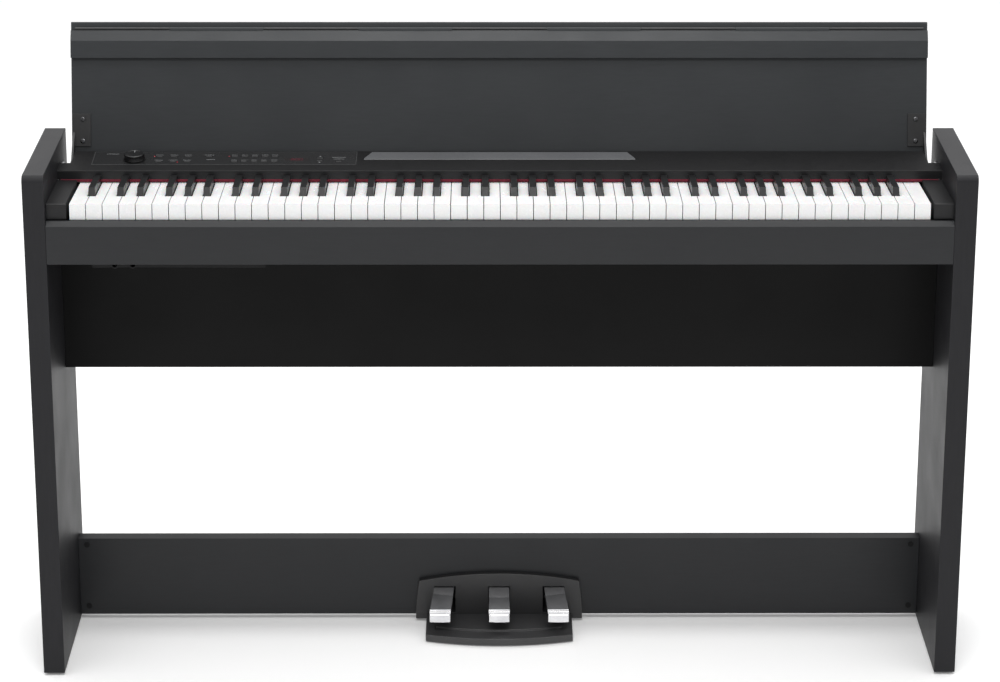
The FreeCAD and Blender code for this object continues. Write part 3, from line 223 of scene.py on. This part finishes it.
def gloss(name, color, roughness=0.1):
    """Polished plastic with faint wiping marks and dust."""
    surface = Surface(name, color, roughness, Coat_Weight=0.5, Coat_Roughness=0.05)
    surface.tint(surface.noise(0.12, 3.0), shade(color, 1.3))
    surface.tint(surface.noise(0.0009, 1.0), shade(color, 4.0), 0.74, 0.80, 0.4)
    surface.polish(surface.noise(0.03, 5.0, 0.65, (3, 1, 1)), roughness * 0.7, roughness * 2.2)
    surface.relief(surface.noise(0.03, 2.0), 0.00004)
    return surface.material


def white_key_plastic():
    color = linear(222, 222, 222)
    surface = Surface("key_white", color, 0.2, Subsurface_Weight=0.12, Subsurface_Scale=0.002)
    surface.tint(surface.noise(0.03, 3.0), linear(224, 224, 224))
    surface.tint(surface.noise(0.002, 2.0), linear(231, 231, 231), amount=0.5)
    surface.polish(surface.noise(0.012, 4.0, 0.6, (1, 3, 1)), 0.14, 0.30)
    surface.relief(surface.noise(0.0005, 1.0, 0.5, (1, 8, 1)), 0.000012)
    return surface.material


def black_key_plastic():
    color = linear(15, 15, 16)
    surface = Surface("key_black", color, 0.34, Specular_IOR_Level=0.35)
    surface.tint(surface.noise(0.02, 3.0), linear(20, 20, 21))
    # paler edges: partly rubbed wear, partly a painted edge highlight
    surface.worn_and_highlit_edges(0.0010, linear(52, 52, 53), 0.5)
    surface.polish(surface.noise(0.006, 4.0, 0.6, (1, 4, 1)), 0.27, 0.40)
    surface.relief(surface.noise(0.0004, 2.0, 0.6, (1, 7, 1)), 0.00003)
    return surface.material


def felt(name, color):
    surface = Surface(name, color, 0.95, Sheen_Weight=0.5, Sheen_Roughness=0.4)
    surface.tint(surface.noise(0.006, 4.0, 0.7), shade(color, 0.55))
    surface.tint(surface.noise(0.0009, 3.0, 0.7, distortion=1.5), shade(color, 1.7), 0.5, 0.75, 0.7)
    surface.relief(surface.noise(0.0007, 4.0, 0.75, distortion=2.0), 0.0004)
    return surface.material


def chrome():
    color = linear(232, 232, 234)
    surface = Surface("pedal_chrome", color, 0.09, 1.0)
    surface.tint(surface.noise(0.02, 4.0), linear(214, 214, 217))
    surface.polish(surface.noise(0.012, 5.0, 0.7, distortion=0.6), 0.03, 0.09)
    surface.relief(surface.noise(0.0004, 2.0, 0.5, (1, 12, 1)), 0.000006)
    surface.relief(surface.noise(0.02, 2.0), 0.00008)
    return surface.material


def steel(name, color, roughness, stretch=(1, 1, 1)):
    surface = Surface(name, color, roughness, 1.0)
    surface.tint(surface.noise(0.01, 4.0), shade(color, 0.8))
    surface.polish(surface.noise(0.004, 4.0, 0.6), roughness - 0.08, roughness + 0.1)
    surface.relief(surface.noise(0.0004, 2.0, 0.5, stretch), 0.00002)
    return surface.material


def coated_steel(name, color):
    """Powder-coated steel: a fine orange peel with sparse pale specks."""
    surface = Surface(name, color, 0.42)
    surface.tint(surface.noise(0.04, 3.0), shade(color, 1.25))
    surface.tint(surface.noise(0.0007, 1.0), shade(color, 3.0), 0.68, 0.76, 0.5)
    surface.polish(surface.noise(0.008, 3.0), 0.34, 0.5)
    surface.relief(surface.noise(0.0012, 2.0), 0.00006)
    return surface.material


def rubber():
    color = linear(24, 24, 24)
    surface = Surface("rubber_black", color, 0.8)
    surface.tint(surface.noise(0.006, 4.0, 0.65), linear(44, 43, 42))
    surface.relief(surface.noise(0.0008, 3.0), 0.0001)
    return surface.material


def fibreboard():
    color = linear(112, 84, 58)
    surface = Surface("inner_board", color, 0.75)
    surface.tint(surface.noise(0.003, 4.0, 0.7, (4, 1, 1)), linear(86, 62, 42))
    surface.tint(surface.noise(0.0012, 2.0), linear(140, 108, 78), 0.6, 0.75, 0.6)
    surface.relief(surface.noise(0.0012, 3.0), 0.0001)
    return surface.material


def circuit_board():
    color = linear(14, 66, 40)
    surface = Surface("board_green", color, 0.35)
    surface.tint(surface.cells(0.004, (3, 1, 1)), linear(22, 92, 58), 0.2, 0.4)
    surface.tint(surface.noise(0.0018, 1.0), linear(150, 140, 96), 0.66, 0.70, 0.8)
    surface.relief(surface.cells(0.004, (3, 1, 1)), 0.00006)
    return surface.material


def lamp(name, color, strength):
    """A lit red lens: darker moulded plastic with a soft glow of its own."""
    surface = Surface(name, shade(color, 0.6), 0.25)
    surface.tint(surface.noise(0.002, 2.0), color)
    surface.shader.inputs["Emission Color"].default_value = color
    surface.shader.inputs["Emission Strength"].default_value = strength
    surface.relief(surface.noise(0.0006, 1.0), 0.00002)
    return surface.material


def printed(name, color):
    """Screen-printed ink: slightly uneven, with a faint raised edge."""
    surface = Surface(name, color, 0.5)
    surface.tint(surface.noise(0.0006, 3.0, 0.6), shade(color, 0.7))
    surface.relief(surface.noise(0.0003, 2.0), 0.00002)
    return surface.material


CABINET = linear(29, 30, 32)
LID = linear(43, 45, 47)
UPRIGHT = (1, 1, 9)
DEEP = (1, 9, 1)
MATERIALS = {
    "cabinet_board": foil("cabinet_board", CABINET),
    "lid_board": foil("lid_board", LID),
    "panel_board": foil("panel_board", linear(34, 34, 36), UPRIGHT, 0.36, 0.48, 1.3),
    "panel_top": foil("panel_top", linear(37, 37, 39), DEEP, 0.38),
    "block_board": foil("block_board", linear(28, 28, 29), DEEP, 0.25),
    # the speaker boards' foil, darkened to paint the shade under the key bed
    "speaker_board_shaded": foil("speaker_board_shaded", linear(9, 9, 9), gleam=0.12, rough=0.5),
    # a lighter copy of the foil for the top board's front lip: painted light that lifts the lip out of its shade
    "lip_lit_board": foil("lip_lit_board", linear(28, 28, 29)),
    "inner_board": fibreboard(),
    "black_plastic": moulded("black_plastic", linear(15, 15, 16), 0.5, gleam=0.2),
    "housing_plastic": moulded("housing_plastic", linear(37, 37, 38), 0.34, 0.0007),
    "base_plastic": moulded("base_plastic", linear(52, 52, 53), 0.34, 0.0007),
    "gloss_panel": gloss("gloss_panel", linear(16, 16, 17), 0.16),
    "ledge_grey": moulded("ledge_grey", linear(78, 79, 81), 0.38),
    "key_white": white_key_plastic(),
    "key_black": black_key_plastic(),
    "button_plastic": moulded("button_plastic", linear(30, 30, 31), 0.4),
    "knob_plastic": moulded("knob_plastic", linear(16, 16, 17), 0.24),
    "display_lens": gloss("display_lens", linear(18, 12, 13), 0.1),
    "red_felt": felt("red_felt", linear(112, 20, 42)),
    "grey_felt": felt("grey_felt", linear(96, 96, 94)),
    "weight_steel": steel("weight_steel", linear(150, 150, 152), 0.45),
    "rod_steel": steel("rod_steel", linear(190, 190, 192), 0.25, (12, 1, 1)),
    "hinge_steel": coated_steel("hinge_steel", linear(24, 24, 25)),
    "screw_steel": steel("screw_steel", linear(96, 96, 98), 0.3),
    "pedal_chrome": chrome(),
    "board_green": circuit_board(),
    "speaker_metal": coated_steel("speaker_metal", linear(30, 30, 31)),
    "grille_metal": coated_steel("grille_metal", linear(24, 24, 25)),
    "rubber_black": rubber(),
    "print_grey": printed("print_grey", linear(150, 152, 153)),
    "outline_grey": printed("outline_grey", linear(60, 61, 62)),
    "lamp_red": lamp("lamp_red", linear(170, 34, 50), 0.2),
    "digit_red": lamp("digit_red", linear(104, 24, 42), 0.05),
}


def paint(piece, name):
    """Gives every material slot of a piece one of the materials above."""
    if not piece.material_slots:
        piece.data.materials.append(MATERIALS[name])
    for slot in piece.material_slots:
        slot.material = MATERIALS[name]


# ---------------------------------------------------------------- CAD nodes


def soften(piece, width, segments, angle):
    """Rounds the outer edges of a CAD node as its material would be, and smooths its shading."""
    mesh = piece.data
    if "custom_normal" in mesh.attributes:
        mesh.attributes.remove(mesh.attributes["custom_normal"])
    mesh.polygons.foreach_set("use_smooth", [True] * len(mesh.polygons))
    weld = piece.modifiers.new("weld", "WELD")
    weld.merge_threshold = 0.000005
    if piece.name not in PIERCED:
        flat = piece.modifiers.new("flat_faces", "DECIMATE")
        flat.decimate_type = "DISSOLVE"
        flat.angle_limit = radians(0.4)
    if width:
        bevel = piece.modifiers.new("edge_round", "BEVEL")
        bevel.width = width
        bevel.segments = segments
        bevel.limit_method = "ANGLE"
        bevel.angle_limit = radians(angle)
        bevel.use_clamp_overlap = True
        bevel.miter_outer = "MITER_ARC"
    else:
        split = piece.modifiers.new("hard_edges", "EDGE_SPLIT")
        split.split_angle = radians(angle)
    even = piece.modifiers.new("even_shading", "WEIGHTED_NORMAL")
    even.keep_sharp = True


# nodes with holes through their large faces, which keep the faces that they have
PIERCED = {"top_board", "control_panel", "rear_panel", "speaker_bottom_board", "speaker_grilles", "pedal_housing"}
# an edge that turns more than this many degrees is rounded, and some nodes have shallower ones
ORDINARY_CORNER = 28
SHALLOW_EDGES = {"lid_flap": 10}
# how far each CAD node's edges are rounded, in millimetres
EDGES_MM = {
    "side_panel_left": 0.9,
    "side_panel_right": 0.9,
    "front_rail": 0.8,
    "lid_panel": 0.9,
    "lid_flap": 0.6,
    "top_board": 0.5,
    "key_blocks": 0.8,
    "speaker_front_board": 0.6,
    "speaker_bottom_board": 0.5,
    "rear_panel": 0.4,
    "pedal_board": 0.8,
    "pedal_base": 1.6,
    "pedal_housing": 0.9,
    "control_panel": 0.15,
    "sound_buttons": 0.5,
    "function_buttons": 0.5,
    "up_button": 0.5,
    "down_button": 0.5,
    "lid_brackets": 0.35,
    "cam_covers": 0.3,
    "glide_feet": 0.8,
    "anti_tip_feet": 0.5,
    "jack_box": 0.6,
    "power_inlet": 0.5,
    "speaker_grilles": 0.15,
    "white_keys_low": 0.55,
    "white_keys_high": 0.55,
    "black_keys_low": 0.7,
    "black_keys_high": 0.7,
    "key_c4": 0.55,
    "key_c_sharp4": 0.7,
    "key_d4": 0.55,
    "key_d_sharp4": 0.7,
    "key_e4": 0.55,
}
# nodes whose material here differs from their slot in the record: mostly finer ones, and for the speaker boards a
# darkened foil that paints the shade under the key bed
SPECIAL = {
    "side_panel_left": "panel_board",
    "side_panel_right": "panel_board",
    "key_blocks": "block_board",
    # the speaker boards get the darkened foil: painted shade under the key bed
    "speaker_front_board": "speaker_board_shaded",
    "speaker_bottom_board": "speaker_board_shaded",
    "pedal_housing": "housing_plastic",
    "pedal_base": "base_plastic",
}


def finish_cad_nodes():
    """Gives every CAD node its material and its edges."""
    record_slot = {part["node"]: part["material_slot"] for part in frame["record"]["subparts"]}
    for name, node in nodes.items():
        paint(node, SPECIAL.get(name, record_slot[name]))
        segments = 3 if name.startswith("pedal") else 2
        soften(node, EDGES_MM.get(name, 0) * MM, segments, SHALLOW_EDGES.get(name, ORDINARY_CORNER))
    # the forward-facing lip faces get the lighter foil: painted light on a shaded face
    paint_facing(nodes["top_board"], (0, -1, 0), "lip_lit_board")
    for side in ("left", "right"):
        paint_facing(nodes[f"side_panel_{side}"], (0, 0, 1), "panel_top")


def paint_facing(piece, direction, name):
    """Gives the faces that look one way a material of their own."""
    piece.data.materials.append(MATERIALS[name])
    turn = piece.matrix_world.to_3x3()
    for polygon in piece.data.polygons:
        if (turn @ polygon.normal).dot(Vector(direction)) > 0.95:
            polygon.material_index = len(piece.data.materials) - 1


# ---------------------------------------------------------------- mesh pieces


def make_piece(name, mesh_builder, material, body, place=None, smooth=True):
    """A new object from a bmesh, painted and riding on a CAD body. place turns its own frame into the row's."""
    mesh = bpy.data.meshes.new(name)
    bmesh.ops.recalc_face_normals(mesh_builder, faces=mesh_builder.faces)
    mesh_builder.to_mesh(mesh)
    mesh_builder.free()
    if place is not None:
        mesh.transform(place)
    for polygon in mesh.polygons:
        polygon.use_smooth = smooth
    piece = bpy.data.objects.new(name, mesh)
    bpy.context.scene.collection.objects.link(piece)
    paint(piece, material)
    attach(piece, body)
    return piece


def add_block(builder, low, high, place=None):
    """A closed box between two corners, given in millimetres."""
    made = bmesh.ops.create_cube(builder, size=1.0)["verts"]
    low, high = Vector(low) * MM, Vector(high) * MM
    for vert in made:
        vert.co = Vector((low[i] + (vert.co[i] + 0.5) * (high[i] - low[i]) for i in range(3)))
        if place is not None:
            vert.co = place @ vert.co
    return made


def add_turned(builder, outline, place, segments=32, ripple=None):
    """A turned solid about its own Z. outline is (radius, height) in millimetres, from the bottom to the top."""
    rings = []
    for radius, height in outline:
        if radius == 0:
            rings.append([builder.verts.new(place @ Vector((0, 0, height * MM)))])
            continue
        ring = []
        for step in range(segments):
            angle = 2 * pi * step / segments
            grown = radius + (ripple(angle, height) if ripple else 0)
            point = Vector((grown * cos(angle), grown * sin(angle), height)) * MM
            ring.append(builder.verts.new(place @ point))
        rings.append(ring)
    for low, high in zip(rings, rings[1:]):
        for step in range(segments):
            after = (step + 1) % segments
            if len(low) == 1:
                builder.faces.new((low[0], high[step], high[after]))
            elif len(high) == 1:
                builder.faces.new((low[step], low[after], high[0]))
            else:
                builder.faces.new((low[step], low[after], high[after], high[step]))


def round_edges(piece, width_mm, segments=2, angle=30):
    bevel = piece.modifiers.new("edge_round", "BEVEL")
    bevel.width = width_mm * MM
    bevel.segments = segments
    bevel.limit_method = "ANGLE"
    bevel.angle_limit = radians(angle)
    even = piece.modifiers.new("even_shading", "WEIGHTED_NORMAL")
    even.keep_sharp = True
    return piece


# ---------------------------------------------------------------- controls on the top board

# places on the slope, across and up it in millimetres
KNOB_MM = (-538, 45)
SOUND_COLUMNS = [-391.2 + 14.8 * column for column in range(5)]
FUNCTION_COLUMNS = [-502 + 21 * column for column in range(3)]
ROWS = (38, 59)
# a label stands this far up the slope from the middle of its button
LABEL_RISE = 5.6
# each arrow button's arrowhead: its row, and 1 for up or -1 for down
ARROWS = ((59, 1), (34.5, -1))
ARROW_COLUMN = -265
LAMP_PLACES = ((-399.5, 59), (-474, 35), (-509.5, 59))
# printed marks and digits lie between these heights over the panel
INK_HEIGHTS = (0.005, 0.05)
DIGIT_HEIGHTS = (0.005, 0.045)


def volume_knob():
    """A knob with fine ridges round its side, a dished top and a pale pointer."""
    place = ON_SLOPE @ Matrix.Translation(Vector((KNOB_MM[0], KNOB_MM[1], 0)) * MM)
    ridges = 48
    ridge_depth = 0.22
    low, high = 1.6, 8.4

    def ripple(angle, height):
        if height < low or height > high:
            return 0
        return ridge_depth * cos(ridges * angle)

    builder = bmesh.new()
    outline = [
        (0, 0.5), (14.3, 0.5), (14.9, 0.9), (15.0, 1.4), (14.75, 1.7), (14.7, 8.3), (14.75, 8.7),
        (14.6, 9.6), (14.0, 10.2), (13.2, 10.4), (12.6, 10.3), (12.0, 9.9), (6.0, 9.5), (0, 9.4),
    ]
    add_turned(builder, outline, place, ridges * 4, ripple)
    knob = make_piece("volume_knob_cap", builder, "knob_plastic", "volume_knob")
    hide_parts("volume_knob")
    builder = bmesh.new()
    add_block(builder, (-0.5, 5.5, 9.2), (0.5, 12.2, 10.06), place)
    round_edges(make_piece("knob_pointer", builder, "print_grey", "volume_knob"), 0.15)
    builder = bmesh.new()
    add_turned(builder, [(0, 0.01), (17.2, 0.01), (17.0, 0.10), (15.6, 0.10), (0, 0.10)], place, 96)
    make_piece("knob_ring", builder, "black_plastic", "cabinet")


def printed_marks():
    """Short unreadable strokes where labels are printed, and small arrowheads by the up and down buttons."""
    builder = bmesh.new()
    draw = random.Random(7)
    bottom, top = INK_HEIGHTS
    space, shortest_end = 0.5, 0.6

    def stroke(left, right, row, tall=0.9):
        """One label: a line of short dashes as long as its words would be."""
        at = left
        while at < right - shortest_end:
            long = min(draw.uniform(1.2, 2.6), right - at)
            low = (at, row - tall / 2, bottom)
            add_block(builder, low, (at + long, row + tall / 2, top), ON_SLOPE)
            at += long + space

    stroke(-581, -563, 69, 1.1)
    for column in FUNCTION_COLUMNS:
        stroke(column - 5.5, column + 5.5, ROWS[1] + LABEL_RISE)
        stroke(column - 6, column + 6, ROWS[0] + LABEL_RISE)
    stroke(-436, -422, ROWS[1] + LABEL_RISE)
    stroke(-432, -420, ROWS[0] + 8)
    for column in SOUND_COLUMNS:
        stroke(column - 4.6, column + 4.6, ROWS[1] + LABEL_RISE)
        stroke(column - 4.2, column + 4.2, ROWS[0] + LABEL_RISE)
    stroke(-247, -227, ROWS[0] + 17)
    stroke(-245, -229, ROWS[0] + 10)
    half_arrow = 1.6
    for row, up in ARROWS:
        corners = [
            (ARROW_COLUMN - half_arrow, row - up),
            (ARROW_COLUMN + half_arrow, row - up),
            (ARROW_COLUMN, row + 1.4 * up),
        ]
        low = [builder.verts.new(ON_SLOPE @ (Vector((x, y, bottom)) * MM)) for x, y in corners]
        high = [builder.verts.new(ON_SLOPE @ (Vector((x, y, top)) * MM)) for x, y in corners]
        builder.faces.new(low)
        builder.faces.new(high)
        for index in range(3):
            after = (index + 1) % 3
            builder.faces.new((low[index], low[after], high[after], high[index]))
    make_piece("panel_print", builder, "print_grey", "cabinet", smooth=False)


def panel_outline():
    """The thin pale line inlaid round the control panel."""
    left, right, front, rear = -599.2, -210.8, 24.8, 78.0
    wide = 0.8
    heights = (-0.25, 0.12)
    builder = bmesh.new()
    for low, high in (
        ((left, front), (right, front + wide)),
        ((left, rear - wide), (right, rear)),
        ((left, front + wide), (left + wide, rear - wide)),
        ((right - wide, front + wide), (right, rear - wide)),
    ):
        add_block(builder, (*low, heights[0]), (*high, heights[1]), ON_SLOPE)
    bmesh.ops.remove_doubles(builder, verts=builder.verts, dist=1e-7)
    make_piece("panel_outline", builder, "outline_grey", "cabinet", smooth=False)


def display_digits():
    """Three seven-segment digits on the display's dark lens, showing no more than a number."""
    builder = bmesh.new()
    lit = {"0": "abcdef", "8": "abcdefg"}
    wide, tall, thick = 4.2, 6.6, 0.75
    space = 0.35
    first, pitch = -305.3, 6.3
    middle_row = 46.5
    bottom, top = DIGIT_HEIGHTS

    def bar(across, along, horizontal):
        half_long = (wide if horizontal else tall / 2) / 2 - space
        half_thick = thick / 2
        dx, dy = (half_long, half_thick) if horizontal else (half_thick, half_long)
        add_block(builder, (across - dx, along - dy, bottom), (across + dx, along + dy, top), ON_SLOPE)

    for index, digit in enumerate("800"):
        x = first + pitch * index
        places = {
            "a": (x, middle_row + tall / 2, True),
            "b": (x + wide / 2, middle_row + tall / 4, False),
            "c": (x + wide / 2, middle_row - tall / 4, False),
            "d": (x, middle_row - tall / 2, True),
            "e": (x - wide / 2, middle_row - tall / 4, False),
            "f": (x - wide / 2, middle_row + tall / 4, False),
            "g": (x, middle_row, True),
        }
        for segment in lit[digit]:
            bar(*places[segment])
    make_piece("display_digits", builder, "digit_red", "cabinet", smooth=False)


def status_lamps():
    """Small red domes beside the buttons that they belong to."""
    builder = bmesh.new()
    dome = [(0, -0.3), (1.0, -0.3), (1.0, 0.15), (0.85, 0.42), (0.5, 0.6), (0, 0.66)]
    for x, row in LAMP_PLACES:
        place = ON_SLOPE @ Matrix.Translation(Vector((x, row, 0)) * MM)
        add_turned(builder, dome, place, 20)
    make_piece("status_lamps", builder, "lamp_red", "cabinet")


# ---------------------------------------------------------------- screws and small metal


def add_cross_screw(builder, place, radius, tall, turn=0.0):
    """A domed screw head with a cross recess, standing along the place's own Z."""
    dome = [(radius, 0), (radius, tall * 0.35), (radius * 0.9, tall * 0.72), (radius * 0.62, tall * 0.96)]
    count = 32
    arm = radius * 0.13
    reach = radius * 0.55
    rings = []
    for r, h in dome:
        rings.append([
            builder.verts.new(place @ (Vector((r * cos(2 * pi * i / count), r * sin(2 * pi * i / count), h)) * MM))
            for i in range(count)
        ])
    for low, high in zip(rings, rings[1:]):
        for i in range(count):
            after = (i + 1) % count
            builder.faces.new((low[i], low[after], high[after], high[i]))
    base = builder.verts.new(place @ Vector((0, 0, 0)))
    for i in range(count):
        builder.faces.new((rings[0][(i + 1) % count], rings[0][i], base))
    cross = []
    for quarter in range(4):
        angle = turn + quarter * pi / 2
        for u, v in ((reach, -arm), (reach, arm), (arm, arm)):
            cross.append((u * cos(angle) - v * sin(angle), u * sin(angle) + v * cos(angle)))
    rim = [builder.verts.new(place @ (Vector((x, y, tall)) * MM)) for x, y in cross]
    floor = [builder.verts.new(place @ (Vector((x * 0.8, y * 0.8, tall * 0.3)) * MM)) for x, y in cross]
    total = len(cross)
    for i in range(total):
        after = (i + 1) % total
        builder.faces.new((rim[i], rim[after], floor[after], floor[i]))
    builder.faces.new(floor)
    bridge(builder, rings[-1], [atan2(sin(2 * pi * i / count), cos(2 * pi * i / count)) for i in range(count)],
           rim, [atan2(y, x) for x, y in cross])


def bridge(builder, outer, outer_angles, inner, inner_angles):
    """Faces between two closed rings of vertices, matched by their angles about the middle."""
    total = 2 * pi
    outer_order = sorted(range(len(outer)), key=lambda i: outer_angles[i] % total)
    inner_order = sorted(range(len(inner)), key=lambda i: inner_angles[i] % total)
    a = b = 0
    while a < len(outer) or b < len(inner):
        now_out, now_in = outer[outer_order[a % len(outer)]], inner[inner_order[b % len(inner)]]
        next_out = outer_angles[outer_order[a % len(outer)]] % total + (total if a >= len(outer) else 0)
        next_in = inner_angles[inner_order[b % len(inner)]] % total + (total if b >= len(inner) else 0)
        if b >= len(inner) or (a < len(outer) and next_out <= next_in):
            builder.faces.new((now_out, outer[outer_order[(a + 1) % len(outer)]], now_in))
            a += 1
        else:
            builder.faces.new((now_out, inner[inner_order[(b + 1) % len(inner)]], now_in))
            b += 1


def bracket_screws():
    """Cross-head screws through each lid bracket."""
    builder = bmesh.new()
    face = 24.5
    column = 619.4
    heights = (35.3, 67.8)
    head_radius, head_tall = 3.6, 1.6
    out = Matrix.Rotation(pi / 2, 4, "X")
    for index, (side, height) in enumerate((side, height) for side in (1, -1) for height in heights):
        place = ON_LID @ Matrix.Translation(Vector((side * column, face, height)) * MM) @ out
        add_cross_screw(builder, place, head_radius, head_tall, 0.5 + index)
    heads = make_piece("bracket_screw_heads", builder, "screw_steel", "lid", smooth=False)
    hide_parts("bracket_screws")


def rear_screws():
    """Pan-head screws round the edge of the back panel."""
    builder = bmesh.new()
    low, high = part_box("rear_panel")
    inset = 0.012
    columns = 7
    head_radius, head_tall = 3.2, 1.4
    out = Matrix.Rotation(-pi / 2, 4, "X")
    index = 0
    for column in range(columns):
        x = low.x + inset + (high.x - low.x - 2 * inset) * column / (columns - 1)
        for z in (low.z + inset, high.z - inset):
            place = Matrix.Translation((x, high.y, z)) @ out
            add_cross_screw(builder, place, head_radius, head_tall, 0.7 * index)
            index += 1
    make_piece("rear_screws", builder, "screw_steel", "cabinet", smooth=False)


def jack_rings():
    """A dark washer round each headphone socket."""
    builder = bmesh.new()
    facing = Matrix.Rotation(pi / 2, 4, "X")
    ring = [(3.3, 0.02), (5.6, 0.02), (5.6, 0.35), (5.2, 0.6), (4.0, 0.6), (3.4, 0.3), (3.3, 0.02)]
    setback, height = 17.5, 635.6
    for x in (-552, -526):
        place = Matrix.Translation((x * MM, FRONT + setback * MM, height * MM)) @ facing
        add_turned(builder, ring, place, 40)
    bmesh.ops.remove_doubles(builder, verts=builder.verts, dist=1e-6)
    make_piece("jack_rings", builder, "black_plastic", "cabinet")


# ---------------------------------------------------------------- felt


def felt_strip(name, node, material, body):
    """A strip of felt in a CAD strip's place: soft corners and a faintly uneven, fibrous surface."""
    draw = random.Random(len(name))
    builder = bmesh.new()
    for low, high in strip_boxes(nodes[node].data):
        strip_mesh(builder, low, high, draw)
    piece = make_piece(name, builder, material, body)
    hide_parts(node)
    return piece


def strip_boxes(mesh):
    """The box of each separate solid of a mesh."""
    builder = bmesh.new()
    builder.from_mesh(mesh)
    bmesh.ops.remove_doubles(builder, verts=builder.verts, dist=5e-6)
    left = set(builder.verts)
    boxes = []
    while left:
        stack = [next(iter(left))]
        island = set(stack)
        while stack:
            for edge in stack.pop().link_edges:
                for vert in edge.verts:
                    if vert not in island:
                        island.add(vert)
                        stack.append(vert)
        left -= island
        low = Vector([min(v.co[i] for v in island) for i in range(3)])
        high = Vector([max(v.co[i] for v in island) for i in range(3)])
        boxes.append((low, high))
    builder.free()
    return sorted(boxes, key=lambda pair: pair[0][:])


def strip_mesh(builder, low, high, draw):
    """A long strip with rounded corners, its section wavering a little along its length."""
    steps = max(2, round((high.x - low.x) / 0.004))
    half_y, half_z = (high.y - low.y) / 2, (high.z - low.z) / 2
    mid_y, mid_z = (high.y + low.y) / 2, (high.z + low.z) / 2
    corner = min(half_y, half_z) * 0.45
    section = []
    for sign_y, sign_z, start in ((1, 1, 0), (-1, 1, 1), (-1, -1, 2), (1, -1, 3)):
        for part in range(4):
            angle = (start + part / 3) * pi / 2
            section.append((
                sign_y * (half_y - corner) + corner * cos(angle),
                sign_z * (half_z - corner) + corner * sin(angle),
            ))
    rings = []
    for step in range(steps + 1):
        x = low.x + (high.x - low.x) * step / steps
        ring = []
        for offset_y, offset_z in section:
            shrink = 1 - draw.uniform(0.0, 0.06)
            ring.append(builder.verts.new((x, mid_y + offset_y * shrink, mid_z + offset_z * shrink)))
        rings.append(ring)
    count = len(section)
    for before, after in zip(rings, rings[1:]):
        for i in range(count):
            j = (i + 1) % count
            builder.faces.new((before[i], before[j], after[j], after[i]))
    builder.faces.new(rings[0])
    builder.faces.new(rings[-1])


# ---------------------------------------------------------------- stage


FLOOR_HALF = 14
FLOOR_GLOW = 0.12
# each lamp's name, place, point that it faces, width, height and power in watts
LAMPS = (
    ("front_softbox", (-0.05, -2.5, 3.2), (0, 0, 0.8), 1.25, 0.8, 42),
    ("top_lamp", (0.0, 0.3, 4.2), (0, 0, 0), 4.5, 4.0, 138),
)
# how bright the surround is up to the first height of a unit sphere, and from the second one up
SURROUND_HEIGHTS = (0.25, 0.65)
SURROUND_STRENGTHS = (0.45, 0.9)


def studio():
    """A pale floor that glows a little, so that it stays white, with a bright surround and large soft lamps."""
    builder = bmesh.new()
    bmesh.ops.create_grid(builder, x_segments=1, y_segments=1, size=FLOOR_HALF)
    mesh = bpy.data.meshes.new("floor")
    builder.to_mesh(mesh)
    builder.free()
    floor = bpy.data.objects.new("floor", mesh)
    bpy.context.scene.collection.objects.link(floor)
    surface = Surface("floor_pale", linear(244, 244, 244), 0.6)
    surface.tint(surface.noise(0.8, 2.0), linear(247, 247, 247))
    surface.shader.inputs["Emission Color"].default_value = (1, 1, 1, 1)
    surface.shader.inputs["Emission Strength"].default_value = FLOOR_GLOW
    mesh.materials.append(surface.material)
    surround()
    for name, spot, target, wide, tall, power in LAMPS:
        light = bpy.data.lights.new(name, "AREA")
        light.energy = power
        light.shape = "RECTANGLE"
        light.size = wide
        light.size_y = tall
        lamp_object = bpy.data.objects.new(name, light)
        lamp_object.location = spot
        lamp_object.rotation_euler = (Vector(target) - Vector(spot)).to_track_quat("-Z", "Y").to_euler()
        lamp_object.visible_camera = False
        bpy.context.scene.collection.objects.link(lamp_object)


def surround():
    """A surround that is dim at the horizon and brighter overhead."""
    world = bpy.data.worlds.new("surround")
    world.use_nodes = True
    tree = world.node_tree
    direction = tree.nodes.new("ShaderNodeTexCoord")
    parts = tree.nodes.new("ShaderNodeSeparateXYZ")
    tree.links.new(direction.outputs["Generated"], parts.inputs["Vector"])
    rise = tree.nodes.new("ShaderNodeMapRange")
    ends = (*SURROUND_HEIGHTS, *SURROUND_STRENGTHS)
    for socket, value in zip(("From Min", "From Max", "To Min", "To Max"), ends):
        rise.inputs[socket].default_value = value
    tree.links.new(parts.outputs["Z"], rise.inputs["Value"])
    background = tree.nodes["Background"]
    background.inputs["Color"].default_value = (1, 1, 1, 1)
    tree.links.new(rise.outputs["Result"], background.inputs["Strength"])
    bpy.context.scene.world = world
    bpy.context.scene.view_settings.view_transform = "Standard"


def camera():
    """The photograph's viewpoint: nearly in front of the middle, a little above the open lid."""
    data = bpy.data.cameras.new("camera")
    # the focal length and the lens's shift are fractions of the picture's width
    focal, shift = 3.1886, 0.06
    data.sensor_width = 36.0
    data.lens = data.sensor_width * focal
    data.shift_y = -shift
    data.clip_end = 60
    holder = bpy.data.objects.new("camera", data)
    pitch, yaw, roll = 0.3135, -0.0061, 0.0015
    aside, before_front, height = -0.0269, 4.3331, 2.0213
    ahead = Vector((-sin(yaw), cos(yaw), 0))
    right = Vector((cos(yaw), sin(yaw), 0))
    down_ahead = ahead * cos(pitch) - Vector((0, 0, 1)) * sin(pitch)
    up = ahead * sin(pitch) + Vector((0, 0, 1)) * cos(pitch)
    rolled_right = right * cos(roll) + up * sin(roll)
    rolled_up = up * cos(roll) - right * sin(roll)
    turn = Matrix((rolled_right, rolled_up, -down_ahead)).transposed().to_4x4()
    holder.matrix_world = Matrix.Translation((aside, FRONT - before_front, height)) @ turn
    bpy.context.scene.collection.objects.link(holder)
    bpy.context.scene.camera = holder


finish_cad_nodes()
volume_knob()
printed_marks()
panel_outline()
display_digits()
status_lamps()
bracket_screws()
rear_screws()
jack_rings()
felt_strip("name_felt_strip", "name_felt", "red_felt", "cabinet")
felt_strip("action_felt_strips", "action_felts", "grey_felt", "cabinet")
studio()
camera()
